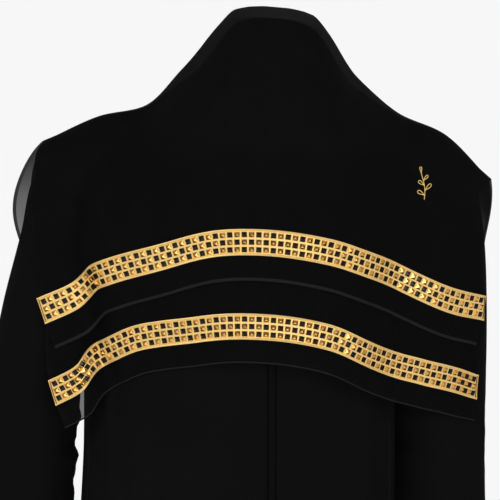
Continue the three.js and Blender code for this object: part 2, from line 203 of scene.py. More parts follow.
# %% World
def add_world():
    world = bpy.data.worlds.new("studio")
    bpy.context.scene.world = world
    world.use_nodes = True
    world.node_tree.nodes.clear()
    graph = Graph(world.node_tree)
    direction = graph.node("ShaderNodeTexCoord").out("Generated")
    height = graph.node("ShaderNodeSeparateXYZ", (), {0: direction}).out("Z")
    sweep = graph.node(
        "ShaderNodeValToRGB",
        {"stops": [(0.50, (0.93, 0.93, 0.93, 1)), (0.72, (0.34, 0.34, 0.35, 1))]},
        {0: height * 0.5 + 0.5},
    )
    light = graph.node("ShaderNodeBackground", (), {"Color": sweep, "Strength": 1.0})
    graph.node("ShaderNodeOutputWorld", (), {"Surface": light})


add_world()
print("world of", len(bpy.context.scene.world.node_tree.nodes), "nodes")

# %% [markdown]
# ## Finishes
# Every finish is one Principled shader. What is the same all over is set on its sockets,
# and only colour, roughness, alpha and bump vary over the surface.


# %% Finish maker
def finish(name, colour, roughness, build=None, **constants):
    """A material with fixed values, and a build function for what varies."""
    material = bpy.data.materials.new(name)
    material.use_nodes = True
    material.node_tree.nodes.clear()
    graph = Graph(material.node_tree)
    sockets = {"Base Color": (*colour, 1), "Roughness": roughness}
    for key, value in constants.items():
        sockets[key.replace("_", " ")] = value
    if build:
        sockets.update(build(graph))
    shader = graph.node("ShaderNodeBsdfPrincipled", (), sockets)
    graph.node("ShaderNodeOutputMaterial", (), {"Surface": shader})
    material.diffuse_color = (*colour, 1)
    return material


def grain(graph, scale, detail=3.0):
    """Noise over the piece's own space, from 0 to 1."""
    place = graph.node("ShaderNodeTexCoord").out("Object")
    return graph.node(
        "ShaderNodeTexNoise", (), {"Vector": place, "Scale": scale, "Detail": detail}
    )


def shades(graph, factor, dark, light):
    """A colour between two, by a factor."""
    return graph.node(
        "ShaderNodeMix",
        {"data_type": "RGBA"},
        {"Factor": factor, "A": (*dark, 1), "B": (*light, 1)},
        "Result",
    )


def bump(graph, height, strength, distance):
    return graph.node(
        "ShaderNodeBump", (), {"Height": height, "Strength": strength, "Distance": distance}
    )

# %% [markdown]
# Crepe has a fine pebbled face, made by overtwisted yarns. It takes light evenly, so it
# gets two sizes of noise in its bump, a little unevenness in its black, and a faint sheen.


# %% Crepe and trim
def crepe_face(graph):
    pebble, slub = grain(graph, 620, 2.0), grain(graph, 9)
    return {
        "Base Color": shades(graph, slub, (0.0036, 0.0036, 0.0038), (0.0056, 0.0056, 0.0059)),
        "Roughness": 0.72 + slub * 0.16,
        "Normal": bump(graph, pebble + slub * 2, 0.35, 0.0004),
    }


def trim_face(graph):
    rib = grain(graph, 900, 1.0)
    return {
        "Base Color": shades(graph, rib, (0.0022, 0.0022, 0.0024), (0.0038, 0.0038, 0.0041)),
        "Normal": bump(graph, rib, 0.3, 0.0003),
    }


MATT = {"Specular_IOR_Level": 0.0, "Sheen_Weight": 0.015, "Sheen_Roughness": 0.4}
CREPE = finish("robe_crepe", (0.0046, 0.0046, 0.0048), 0.8, crepe_face, **MATT)
TRIM = finish("woven_trim", (0.003, 0.003, 0.0032), 0.7, trim_face, Specular_IOR_Level=0.02)
THREAD = finish("black_thread", (0.006, 0.006, 0.006), 0.5, trim_face, Specular_IOR_Level=0.12)
print("crepe, trim and thread")

# %% [markdown]
# Chiffon is a sheer plain weave. One ply lets about a fifth of the light through, and its
# turned edges are three plies thick, so they show as dark lines. The alpha reads the UV
# map, which is the flat length of cloth in metres: U runs across it and V along it.

# %% Chiffon
SCARF_FLAT = (0.590, 1.75)
SELVEDGE = 0.0032
SHEER, TURNED = 0.82, 0.97


def chiffon_face(graph):
    flat = graph.node("ShaderNodeSeparateXYZ", (), {0: graph.node("ShaderNodeUVMap")})
    across = flat.out("X")
    edge = (across < SELVEDGE) + (across > SCARF_FLAT[0] - SELVEDGE)
    cloud = grain(graph, 60)
    threads = graph.node(
        "ShaderNodeTexWave",
        {"bands_direction": "DIAGONAL"},
        {"Vector": graph.node("ShaderNodeUVMap"), "Scale": 420, "Distortion": 1.5},
        1,
    )
    cover = graph.node("ShaderNodeAttribute", {"attribute_name": "gathered"}).out("Fac")
    dense = edge.maths("MAXIMUM", edge, cover)
    sheer = SHEER - 0.03 + cloud * 0.06
    return {
        "Base Color": shades(graph, cloud, (0.0034, 0.0034, 0.0036), (0.0052, 0.0052, 0.0055)),
        "Alpha": sheer + (TURNED - sheer) * dense,
        "Roughness": 0.58 + cloud * 0.16,
        "Normal": bump(graph, threads, 0.2, 0.0002),
    }


# Painted highlight: the rolled hem is the same black chiffon, painted about three times lighter so
# that each hem reads as a light line.
def hem_highlight_face(graph):
    roll = grain(graph, 500, 1.0)
    return {"Base Color": shades(graph, roll, (0.010, 0.010, 0.0102), (0.017, 0.017, 0.0174))}


CHIFFON = finish("scarf_chiffon", (0.0043, 0.0043, 0.0046), 0.65, chiffon_face, **MATT)
HEM_HIGHLIGHT_CLOTH = finish("rolled_chiffon_painted_highlight", (0.013, 0.013, 0.0133), 0.6, hem_highlight_face, **MATT)
print("chiffon, one ply lets", round(1 - SHEER, 2), "through")

# %% [markdown]
# The bands are a bright lurex ribbon set with two kinds of stud: polished gold and black
# enamel. Lurex is film wound round thread, so it glitters: half metal, with a fine bump.


# %% Ribbon and studs
def ribbon_face(graph):
    glitter = grain(graph, 1500, 1.0)
    return {
        "Base Color": shades(graph, glitter, (0.62, 0.36, 0.09), (0.95, 0.70, 0.28)),
        "Roughness": 0.32 + glitter * 0.3,
        "Normal": bump(graph, glitter, 0.4, 0.0004),
    }


def gold_face(graph):
    wear = grain(graph, 160)
    return {
        "Base Color": shades(graph, wear, (0.60, 0.30, 0.06), (0.90, 0.56, 0.18)),
        "Roughness": 0.14 + wear * 0.14,
    }


def enamel_face(graph):
    speck = grain(graph, 220)
    return {
        "Base Color": shades(graph, speck, (0.002, 0.002, 0.002), (0.006, 0.005, 0.005)),
        "Roughness": 0.10 + speck * 0.14,
    }


RIBBON = finish("lurex_ribbon", (0.83, 0.52, 0.13), 0.45, ribbon_face, Metallic=0.55)
GOLD = finish("gold_stud", (0.95, 0.60, 0.20), 0.2, gold_face, Metallic=1.0)
ENAMEL = finish("black_stud", (0.004, 0.004, 0.004), 0.15, enamel_face, Specular_IOR_Level=0.16)
print("ribbon, gold and enamel")

# %% [markdown]
# The embroidery is a softer gold thread, which shines only a little. The press studs are
# gunmetal, and the label is a plain pale weave with nothing printed on it.


# %% Thread, press studs and label
def satin_face(graph):
    strand = grain(graph, 700)
    return {
        "Base Color": shades(graph, strand, (0.62, 0.38, 0.08), (0.95, 0.66, 0.22)),
        "Roughness": 0.35 + strand * 0.25,
    }


def gunmetal_face(graph):
    brushed = grain(graph, 340)
    return {
        "Base Color": shades(graph, brushed, (0.05, 0.05, 0.055), (0.12, 0.12, 0.13)),
        "Roughness": 0.25 + brushed * 0.2,
    }


def label_face(graph):
    weave = grain(graph, 800, 1.0)
    return {
        "Base Color": shades(graph, weave, (0.60, 0.58, 0.54), (0.74, 0.72, 0.68)),
        "Normal": bump(graph, weave, 0.4, 0.0003),
    }


SATIN = finish("gold_thread", (0.8, 0.52, 0.15), 0.45, satin_face, Metallic=0.2)
GUNMETAL = finish("press_stud_metal", (0.08, 0.08, 0.085), 0.35, gunmetal_face, Metallic=0.9)
LABEL = finish("label_cloth", (0.66, 0.64, 0.60), 0.85, label_face)
print(len(bpy.data.materials), "finishes")

# %% [markdown]
# ## The drape of the scarf
# The scarf follows a few measured lines: the fold line over the shoulders, the hem down the
# back and the fold that hangs in front. Each warp thread runs from the back hem, up to the
# shoulder line, over the neck and down to the front fold. The lines are close to those of
# the frame's plies, so the cloth lies where they are.

# %% Lines of the drape
# Across the scarf from -1 to 1, then X, Y and Z.
SHOULDER_LINE = (
    (-1.0, -0.243, 0.003, -0.010),
    (-0.8, -0.188, 0.008, 0.0145),
    (-0.6, -0.133, 0.008, 0.0275),
    (-0.4, -0.097, 0.006, 0.067),
    (-0.2, -0.0545, 0.005, 0.114),
    (-0.15, -0.0395, 0.005, 0.1265),
    (0.0, 0.004, 0.005, 0.1275),
    (0.15, 0.0455, 0.005, 0.119),
    (0.2, 0.0605, 0.005, 0.103),
    (0.4, 0.0945, 0.006, 0.053),
    (0.6, 0.136, 0.008, 0.018),
    (0.8, 0.189, 0.008, -0.006),
    (1.0, 0.235, 0.003, -0.052),
)
BACK_HEM = (
    (-1.0, -0.253, -0.062, -0.2225),
    (-0.85, -0.217, -0.070, -0.2045),
    (-0.68, -0.190, -0.066, -0.183),
    (-0.365, -0.120, -0.091, -0.158),
    (-0.12, -0.060, -0.110, -0.140),
    (0.09, 0.000, -0.116, -0.138),
    (0.295, 0.060, -0.113, -0.148),
    (0.45, 0.100, -0.098, -0.164),
    (0.665, 0.150, -0.063, -0.192),
    (0.84, 0.192, -0.042, -0.214),
    (1.0, 0.2315, -0.010, -0.231),
)
# How much higher the lower ply's hem lies than a hem that would run level with the upper one.
UNDER_RAISE = (
    (-1.0, 0.0),
    (-0.7, 0.002),
    (-0.5, 0.009),
    (-0.38, 0.008),
    (-0.2, 0.002),
    (0.0, 0.0),
    (0.3, -0.001),
    (0.56, -0.0065),
    (0.74, 0.0),
    (0.85, 0.004),
    (1.0, 0.003),
)
PLY_DROP = 0.091
PLY_STEP = 0.003
PLUMB = 0.062
NECK_DEPTH, NECK_SPAN, RIDGE_DEPTH, SHOULDER_TILT = 0.056, 0.42, 0.004, 0.17
FRONT_Z = -0.437


print(len(SHOULDER_LINE), "points of the shoulder line,", len(BACK_HEM), "of the hem")

# %% [markdown]
# A curve is drawn through each table with smooth steps, so that a few measured points make
# a whole line. Two more helpers, a step and a hill, shape every fold below.


# %% Curves
def through(rows, at):
    """A smooth curve through rows, whose first column says where each one is."""
    table = np.array(sorted(rows), float)
    place, value = table[:, 0], table[:, 1:]
    slope = np.gradient(value, axis=0)
    slope[1:-1] = (value[2:] - value[:-2]) / (place[2:] - place[:-2])[:, None]
    slope[0] /= place[1] - place[0]
    slope[-1] /= place[-1] - place[-2]
    at = np.asarray(at, float).ravel()
    k = np.clip(np.searchsorted(place, at, side="right") - 1, 0, len(place) - 2)
    span = (place[k + 1] - place[k])[:, None]
    t = np.clip((at - place[k])[:, None] / span, 0, 1)
    level = value[k] + (value[k + 1] - value[k]) * t * t * (3 - 2 * t)
    return level + t * (1 - t) ** 2 * slope[k] * span - t * t * (1 - t) * slope[k + 1] * span


def ease(x):
    """0 below 0, 1 above 1 and smooth between."""
    x = np.clip(x, 0, 1)
    return x * x * (3 - 2 * x)


def hill(x, width, power=2.0):
    return np.exp(-(np.abs(x / width) ** power))


print("a hill is", round(float(hill(1.0, 1.0)), 3), "high at its width")

# %% [markdown]
# A thread leaves the shoulder line outwards and ends plumb. Around the neck the line opens
# into a wide flat ridge, because the cloth stands up round the collar. In front the two
# plies meet in one fold, which hangs in four soft waves.


# %% Fold lines
def shoulder_point(c, side):
    x, y, z = through(SHOULDER_LINE, c).T
    neck = hill(c, NECK_SPAN, 2.5)
    depth = side * (RIDGE_DEPTH + NECK_DEPTH * neck)
    return np.stack([x, y + depth, z + SHOULDER_TILT * 4 * neck * (1 - neck) * depth], -1)


def front_fold_point(c):
    x = -0.030 + 0.135 * c + 0.009 * np.sin(4 * np.pi * c)
    y = 0.131 - 0.036 * c**2 + 0.008 * np.cos(4 * np.pi * c)
    y = y + 0.010 * (0.5 + 0.5 * np.cos(4 * np.pi * c)) + 0.003 * np.cos(7 * c + 1)
    return np.stack([x, y, np.full_like(c, FRONT_Z)], -1)


def hang(top, bottom, c, side, t):
    """Cloth that leaves the shoulder line and ends plumb, for each thread and each t."""
    long = np.linalg.norm(bottom - top, axis=1)[:, None, None]
    steep = np.radians(24 + 26 * hill(c, 0.32))
    sideways = (0.25 - 0.27 * np.sign(c)) * c**5
    start = np.stack([sideways, side * np.cos(steep), -np.sin(steep)], -1)[:, None] * long
    end = np.array([0, 0, -1.0]) * long
    t = t[None, :, None]
    line = top[:, None] + (bottom - top)[:, None] * t * t * (3 - 2 * t)
    return line + start * t * (1 - t) ** 2 - end * t * t * (1 - t)


front_ends = front_fold_point(np.array([-1.0, 1.0]))
print("front fold", round(float(front_ends[1, 0] - front_ends[0, 0]), 3), "m wide")

# %% [markdown]
# Real cloth doesn't hang smooth. Beside the arm the scarf tucks into a deep slanted fold,
# on the other side it sinks a little between arm and body, one edge stands away from the
# arm as a single sheer ply, and the other edge waves. Creases from wearing run along the
# back of the shoulders. Each of these is a small field that is added to the threads.

# %% Folds of the scarf
TUCK = {"place": -0.705, "slant": 0.055, "width": 0.055, "depth": 0.0075}
# How far each thread leans sideways for each metre that it falls beside the stud bands.
LEAN = ((-1.0, 0.38), (-0.7, 0.30), (-0.35, 0.15), (0.0, 0.0), (0.5, -0.12), (1.0, -0.17))
HOLLOW = {"place": 0.57, "width": 0.09, "depth": 0.006}
THREADS = 190


print("a tuck", TUCK["depth"] * 1000, "mm deep and", THREADS, "threads")


# %% Rows along a thread
def fabric_rows():
    """How each thread is divided: its stretch, and where along that stretch."""
    plumb = np.concatenate([np.linspace(-PLY_DROP, 0, 27), np.linspace(0, PLUMB, 18)[1:]])
    fall = np.linspace(1, 0, 56) ** 1.35
    over = np.linspace(-1, 1, 13)[1:-1]
    front = np.linspace(0, 1, 92) ** 1.2
    return plumb, fall[1:], over, front[:-1], np.linspace(PLUMB, 0, 12)


print("points on a thread", sum(len(rows) for rows in fabric_rows()))

# %% [markdown]
# Every thread is made of five stretches: plumb cloth by the bands, the fall down the back,
# the ridge over the shoulder, the fall in front and the plumb end at the front fold. The
# small fields are then added to the whole grid at once.


# %% Threads of the scarf
def scarf_grid(c, stand_away, hem_drop=0.0, edge_shift=0.0):
    """Points of one ply, as [thread][row], from the lower back hem to the front fold."""
    plumb, fall, over, front, last = fabric_rows()
    hem = through(BACK_HEM, c)
    lift = lambda base, heights: base[:, None] + np.array([0, 0, 1.0]) * heights[None, :, None]
    hem_top = hem + [0, 0, PLUMB]
    fold = front_fold_point(c)
    raised = lift(hem, plumb)
    raised[:, :, 2] += through(UNDER_RAISE, c) * ease(-plumb / 0.036)
    rows = [
        raised,
        hang(shoulder_point(c, -1), hem_top, c, -1, fall),
        np.stack([shoulder_point(c, side) for side in over], 1),
        hang(shoulder_point(c, 1), fold + [0, 0, PLUMB], c, 1, front),
        lift(fold, last),
    ]
    grid = np.concatenate(rows, 1)
    low = np.concatenate(
        [np.ones(len(plumb)), ease(fall * 1.15), np.zeros(len(over) + len(front) + len(last))]
    )[None]
    below = np.clip((hem[:, None, 2] - grid[:, :, 2]) / PLY_DROP, -1, 1)
    at = c[:, None]
    off = (at - TUCK["place"] - TUCK["slant"] * below) / TUCK["width"]
    grid[:, :, 1] += TUCK["depth"] * hill(off, 1, 1.7) * low
    grid[:, :, 1] += HOLLOW["depth"] * hill(at - HOLLOW["place"], HOLLOW["width"]) * low
    z = grid[:, :, 2]
    behind = np.concatenate([np.ones(len(plumb) + len(fall)), np.zeros(grid.shape[1])])
    behind = behind[None, : grid.shape[1]]
    left_edge, right_edge = ease((-at - 0.86) / 0.14), ease((at - 0.88) / 0.12)
    grid[:, :, 0] -= stand_away * left_edge * hill(z + 0.078, 0.055) * behind
    band_top = hem[:, 2:] - hem_drop + 0.052
    drop = np.logaddexp(0, (band_top - z) / 0.012) * 0.012
    grid[:, :, 0] += through(LEAN, c) * drop * behind
    grid[:, :, 0] += edge_shift * ease((-at - 0.70) / 0.30) * low
    wave = np.cos(2 * np.pi * (z + 0.068) / 0.1355)
    grid[:, :, 0] += 0.0035 * wave * right_edge * behind
    grid[:, :, 1] += 0.0030 * wave * right_edge * behind
    swag = np.cos(9 * at + 14 * z) * hill(at, 0.75, 4) * hill(z + 0.06, 0.09)
    grid[:, :, 1] -= 0.0009 * (1 + swag) * behind
    ring = np.hypot((grid[:, :, 0] - 0.0055) / 0.046, (grid[:, :, 1] - 0.005) / 0.062)
    grid[:, :, 2] -= 0.011 * np.clip(ring - 1, 0, 0.9) * ease((z - 0.03) / 0.06)
    crease = ease((-at - 0.14) / 0.08) * ease((at + 0.78) / 0.1)
    crease += ease((at - 0.16) / 0.06) * ease((0.47 - at) / 0.08)
    rim = shoulder_point(c, -1)[:, None]
    near = hill(np.linalg.norm(grid - rim, axis=2), 0.0026)
    grid += (0.0011 * crease * near)[:, :, None] * np.array([0, -0.6, 0.8])
    return grid


print("one ply takes a place from -1 to 1 and gives", scarf_grid(np.zeros(1), 0).shape[1], "points")

# %% [markdown]
# A grid of points needs its faces, and the outward direction at each point. Both are used
# for all the cloth in this file.


# %% Faces and directions
def grid_faces(rows, columns, closed=False):
    """Quads of a grid whose points are numbered row by row."""
    row = np.arange(rows - 1)[:, None]
    column = np.arange(columns if closed else columns - 1)[None, :]
    after = (column + 1) % columns
    corners = [row * columns + column, (row + 1) * columns + column]
    corners += [(row + 1) * columns + after, row * columns + after]
    return np.stack(np.broadcast_arrays(*corners), -1).reshape(-1, 4)


def grid_normals(grid):
    """The outward direction at each point of a grid of [thread][row]."""
    across, up = np.gradient(grid, axis=0), np.gradient(grid, axis=1)
    normal = np.cross(across, up)
    return normal / np.linalg.norm(normal, axis=2, keepdims=True)


print("grid of 3 by 3:", len(grid_faces(3, 3)), "faces")

# %% [markdown]
# The two plies are the same cloth, so they come from the same lines. The lower one hangs
# one step further down and lies a few millimetres inside.


# %% Two plies
def even_threads(count):
    """Places across the scarf that are evenly spaced along its back hem."""
    fine = np.linspace(-1, 1, 1601)
    hem = scarf_grid(fine, 0.0)[:, len(fabric_rows()[0]) - 8]
    step = np.linalg.norm(np.diff(hem, axis=0), axis=1)
    length = np.concatenate([[0], np.cumsum(step)])
    return np.interp(np.linspace(0, length[-1], count), length, fine), length[-1]


threads, hem_length = even_threads(THREADS)
outer = scarf_grid(threads, 0.018)
under = scarf_grid(threads, 0.004, PLY_DROP, 0.009)
under = under - PLY_STEP * grid_normals(under)
TOP_ROW = int(np.argmin(np.abs(fabric_rows()[0])))  # the upper ply's hem


print("hem", round(hem_length, 3), "m along its folds, rows", outer.shape[1])

# %% [markdown]
# Near its hem the upper ply leans across the lower one, so the two could cross. Cloth would
# give way, so a ray from each point of the lower ply finds the upper one, and the point
# moves in until a small gap is left. The push is spread over its neighbours.


# %% Lower ply gives way
def settle_under(gap=0.0026, last=70):
    """Push the lower ply in, wherever the upper one would lie closer to it than the gap."""
    face = BVHTree.FromPolygons(
        outer[:, TOP_ROW:].reshape(-1, 3).tolist(),
        grid_faces(len(outer), outer.shape[1] - TOP_ROW).tolist(),
    )
    normal = grid_normals(under)
    need = np.zeros(under.shape[:2])
    for thread in range(len(under)):
        for row in range(TOP_ROW - 1, last):
            way = Vector(normal[thread, row])
            start = Vector(under[thread, row]) - way * 0.03
            hit = face.ray_cast(start, way, 0.03 + gap)
            if hit[0] is not None:
                need[thread, row] = 0.03 + gap - hit[3]
    need[:, :TOP_ROW] = need[:, [TOP_ROW]] * ease((np.arange(TOP_ROW) + 12 - TOP_ROW) / 12)
    for _ in range(2):
        need[1:-1] = np.maximum(need[1:-1], (need[:-2] + need[1:-1] + need[2:]) / 3)
        need[:, 1:-1] = np.maximum(need[:, 1:-1], (need[:, :-2] + need[:, 1:-1] + need[:, 2:]) / 3)
    print("the lower ply gives way by up to", round(float(need.max()) * 1000, 1), "mm")
    return under - normal * need[:, :, None]


under = settle_under()

# %% [markdown]
# The cloth itself is one open sheet: up the back, over the shoulders, down to the front
# fold, and all the way back underneath. Its UV map is the flat length of chiffon.


# %% Mesh helpers
def place(name, mesh, *materials):
    made = bpy.data.objects.new(name, mesh)
    bpy.context.scene.collection.objects.link(made)
    for material in materials:
        mesh.materials.append(material)
    return made


def make_mesh(name, points, faces, smooth=True):
    mesh = bpy.data.meshes.new(name)
    mesh.from_pydata(points.reshape(-1, 3).tolist(), [], faces.tolist())
    mesh.validate()
    mesh.polygons.foreach_set("use_smooth", [smooth] * len(mesh.polygons))
    return mesh


def thicken(made, wall):
    """Give an open sheet its wall, inwards, and keep the result as a plain mesh."""
    made.modifiers.new("wall", "SOLIDIFY").thickness = wall
    made.modifiers["wall"].offset = -1
    graph = bpy.context.evaluated_depsgraph_get()
    solid = bpy.data.meshes.new_from_object(made.evaluated_get(graph))
    made.modifiers.clear()
    made.data = solid
    return made


print("helpers: place, make_mesh, thicken")

# %% [markdown]
# Where the scarf is bunched round the neck, several layers lie together and no light comes
# through. A value at each point says how far the cloth is gathered, and the chiffon reads
# it by name.


# %% Gathered cloth
def gathered_cloth(grid, c):
    """Where the cloth is bunched and lets no light through: from 0 to 1 by the neck."""
    away = np.minimum(
        np.linalg.norm(grid - shoulder_point(c, -1)[:, None], axis=2),
        np.linalg.norm(grid - shoulder_point(c, 1)[:, None], axis=2),
    )
    reach = (0.075 + 0.085 * hill(c, 0.42, 3) + 0.06 * ease((-c - 0.7) / 0.2))[:, None]
    edge = ease((abs(c)[:, None] - 0.80) / 0.14)
    return ease((reach - away) / 0.04) * (1 - edge * ease((away - 0.02) / 0.09))


cover = gathered_cloth(under, threads)


print("gathered share", round(float(cover.mean()), 2))


# %% Scarf cloth
def scarf_cloth():
    top, low = outer[:, TOP_ROW:], under[:, ::-1]
    middle, half = (top[:, -1] + low[:, 0]) / 2, (top[:, -1] - low[:, 0]) / 2
    reach = np.linalg.norm(half, axis=1, keepdims=True) * [0, 0, -1.6]
    turn = [half * math.cos(a) + reach * math.sin(a) for a in np.radians([40, 90, 140])]
    bend = np.stack([middle + step for step in turn], 1)
    sheet = np.concatenate([top, bend, low], 1).swapaxes(0, 1)
    rows, columns = sheet.shape[:2]
    faces = grid_faces(rows, columns)
    mesh = make_mesh("scarf_cloth", sheet, faces)
    step = np.linalg.norm(np.diff(sheet, axis=0), axis=2).mean(1)
    along = np.concatenate([[0], np.cumsum(step)])
    length = along[-1]
    flat = np.empty((rows, columns, 2))
    flat[:, :, 0] = np.linspace(0, SCARF_FLAT[0], columns)
    flat[:, :, 1] = (along / length * SCARF_FLAT[1])[:, None]
    gathered = np.concatenate([cover[:, TOP_ROW:], cover[:, -3:], cover[:, ::-1]], 1).T
    cloth_cover = mesh.attributes.new("gathered", "FLOAT", "POINT")
    cloth_cover.data.foreach_set("value", gathered.ravel())
    layer = mesh.uv_layers.new(name="flat_cloth")
    order = np.empty(len(mesh.loops), int)
    mesh.loops.foreach_get("vertex_index", order)
    layer.data.foreach_set("uv", flat.reshape(-1, 2)[order].ravel())
    print("scarf cloth", rows, "x", columns, "length", round(length, 3), "m")
    return place("scarf_cloth", mesh, CHIFFON)


scarf = scarf_cloth()
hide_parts("scarf_upper_ply", "scarf_under_ply", "scarf_front_fold")
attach(scarf, "scarf")

# %% [markdown]
# A rolled hem is the edge turned twice and sewn. It stands a little thicker than the cloth,
# so a small rounded section is swept along each end. Its colour is a painted highlight: it is
# painted lighter than the black chiffon it is made of.

# %% Lines that follow the cloth
def on_cloth(grid, first_row, heights, count, inset=0.0):
    """Points and outward directions on a ply, at heights above a hem, as [height][place]."""
    above = fabric_rows()[0] - fabric_rows()[0][first_row]
    facing = grid_normals(grid)
    places = np.linspace(inset, 1 - inset, count) * (len(grid) - 1)
    left = np.minimum(places.astype(int), len(grid) - 2)
    share = (places - left)[:, None]
    found = []
    for height in heights:
        row = float(np.interp(height, above, np.arange(len(above))))
        low = min(int(row), len(above) - 2)
        for values in (grid, facing):
            line = values[:, low] * (1 - row + low) + values[:, low + 1] * (row - low)
            if values is grid:
                thread = grid[:, first_row + 1] - grid[:, first_row]
                thread /= np.linalg.norm(thread, axis=1, keepdims=True)
                line = line + thread * min(height, 0)
            found.append(line[left] * (1 - share) + line[left + 1] * share)
    return np.stack(found[0::2]), np.stack(found[1::2])


def tube(name, rings, material, smooth=True):
    """A closed skin through rings of points, with its two ends capped."""
    count, sides = rings.shape[:2]
    points = np.concatenate([rings.reshape(-1, 3), rings[[0, -1]].mean(1)])
    faces = grid_faces(count, sides, closed=True)[:, ::-1].tolist()
    last = (count - 1) * sides
    for k in range(sides):
        after = (k + 1) % sides
        faces.append((k, after, count * sides))
        faces.append((last + after, last + k, count * sides + 1))
    mesh = bpy.data.meshes.new(name)
    mesh.from_pydata(points.tolist(), [], faces)
    mesh.polygons.foreach_set("use_smooth", [smooth] * len(mesh.polygons))
    made = place(name, mesh, material)
    volume = sum(
        mesh.vertices[f[0]].co.dot(mesh.vertices[f[1]].co.cross(mesh.vertices[f[k]].co))
        for f in (polygon.vertices for polygon in mesh.polygons)
        for k in range(2, len(f))
    )
    if volume < 0:
        mesh.flip_normals()
    return made


def edging(name, grid, first_row, section, material, count=THREADS, smooth=True):
    """A closed section of (height, out) pairs that follows the cloth above a hem."""
    heights, out = np.array(section).T
    points, facing = on_cloth(grid, first_row, heights, count)
    rings = points + facing * out[:, None, None]
    return tube(name, rings.swapaxes(0, 1), material, smooth)


print("helpers: on_cloth, tube, edging")


# %% Rolled hems
HEM_ROLL = 0.0018


def oval(height, width, sides=8):
    turns = np.linspace(0, 2 * np.pi, sides, endpoint=False)
    return [(height / 2 * math.sin(a) - height / 2, width / 2 * math.cos(a)) for a in turns]


roll = oval(HEM_ROLL, 0.0016)
upper_hem = edging("upper_rolled_hem", outer, TOP_ROW, roll, HEM_HIGHLIGHT_CLOTH)
under_hem = edging("under_rolled_hem", under, 0, roll, HEM_HIGHLIGHT_CLOTH)
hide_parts("scarf_upper_hem")
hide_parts("scarf_under_hem")
for piece in (upper_hem, under_hem):
    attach(piece, "scarf")
print("rolled hems", HEM_ROLL * 1000, "mm high")

# %% [markdown]
# ## The stud bands
# Each band is a ribbon with a raised edge along both sides, sewn 24 mm above its hem. It
# carries three rows of small pyramids, gold and black by turns like a chessboard. The rule
# is simple, so Geometry Nodes sets the studs: a mesh with one face for each stud gives
# their places, and the tree puts a four-sided cone on every second face.

# %% Ribbon
HEM_TO_BAND, BAND_HEIGHT = 0.024, 0.028
STUD_COLUMNS, STUD_ROWS = 73, 3
STUD_PITCH, RAISED_EDGE = 0.008, 0.002
END_SHARE = 0.005  # the share of the ribbon's length that is plain at each end
RIBBON_BACK = 0.0003
RIBBON_SECTION = (
    (0.0000, 0.0000),
    (0.0000, 0.0016),
    (0.0008, 0.0020),
    (0.0018, 0.0016),
    (0.0022, 0.0009),
    (0.0258, 0.0009),
    (0.0262, 0.0016),
    (0.0272, 0.0020),
    (0.0280, 0.0016),
    (0.0280, 0.0000),
)


def ribbon(name, grid, first_row):
    section = [(HEM_TO_BAND + h, o + RIBBON_BACK) for h, o in RIBBON_SECTION]
    made = edging(name, grid, first_row, section, RIBBON, STUD_COLUMNS * 3 + 1, smooth=False)
    line = on_cloth(grid, first_row, [HEM_TO_BAND], STUD_COLUMNS)[0][0]
    print(name, round(np.linalg.norm(np.diff(line, axis=0), axis=1).sum(), 3), "m long")
    return made


upper_band = ribbon("upper_ribbon", outer, TOP_ROW)
under_band = ribbon("under_ribbon", under, 0)


# %% Geometry Nodes helpers
def geometry_graph(name, inputs):
    """An empty Geometry Nodes tree with named inputs."""
    tree = bpy.data.node_groups.new(name, "GeometryNodeTree")
    tree.interface.new_socket("Geometry", in_out="INPUT", socket_type="NodeSocketGeometry")
    for label, kind in inputs.items():
        tree.interface.new_socket(label, in_out="INPUT", socket_type="NodeSocket" + kind)
    tree.interface.new_socket("Geometry", in_out="OUTPUT", socket_type="NodeSocketGeometry")
    graph = Graph(tree)
    return graph, graph.node("NodeGroupInput")


def end_graph(graph, given, geometry):
    real = graph.node("GeometryNodeRealizeInstances", (), {0: geometry})
    dressed = graph.node(
        "GeometryNodeSetMaterial", (), {"Geometry": real, "Material": given.out("Finish")}
    )
    graph.node("NodeGroupOutput", (), {0: dressed})
    return graph.tree


def facing_turn(graph, first_axis, first, second_axis, second):
    """The turn that points one axis one way, and then another as near as it can."""
    start = graph.node(
        "FunctionNodeAlignRotationToVector", {"axis": first_axis}, {"Vector": first}
    )
    return graph.node(
        "FunctionNodeAlignRotationToVector",
        {"axis": second_axis, "pivot_axis": first_axis},
        {"Rotation": start, "Vector": second},
    )


def attribute(graph, name, kind="FLOAT_VECTOR"):
    return graph.node("GeometryNodeInputNamedAttribute", {"data_type": kind}, {"Name": name})


print("helpers: geometry_graph, end_graph, facing_turn, attribute")

# %% [markdown]
# The tree keeps the faces of one colour by their turn, odd or even, sets a cone of four
# sides on each and turns it to face out, square with the ribbon.


# %% Stud tree
def stud_tree():
    graph, given = geometry_graph(
        "studs", {"Width": "Float", "Rise": "Float", "Tip": "Float", "Parity": "Int",
                  "Finish": "Material"}
    )
    turn = attribute(graph, "checker", "INT") % 2
    chosen = turn.maths("COMPARE", turn, given.out("Parity"), 0.1)
    points = graph.node(
        "GeometryNodeMeshToPoints",
        {"mode": "FACES"},
        {"Mesh": given.out("Geometry"), "Selection": chosen},
    )
    cone = graph.node(
        "GeometryNodeMeshCone",
        (),
        {"Vertices": 4, "Radius Top": given.out("Tip"), "Depth": given.out("Rise"),
         "Radius Bottom": given.out("Width") / math.sqrt(2)},
    )
    square = graph.node(
        "GeometryNodeTransform", (), {"Geometry": cone, "Rotation": (0, 0, math.pi / 4)}
    )
    turn = facing_turn(graph, "Z", attribute(graph, "out"), "X", attribute(graph, "along"))
    studs = graph.node(
        "GeometryNodeInstanceOnPoints", (), {"Points": points, "Instance": square, "Rotation": turn}
    )
    return end_graph(graph, given, studs)


STUD_TREE = stud_tree()
print("stud tree of", len(STUD_TREE.nodes), "nodes")


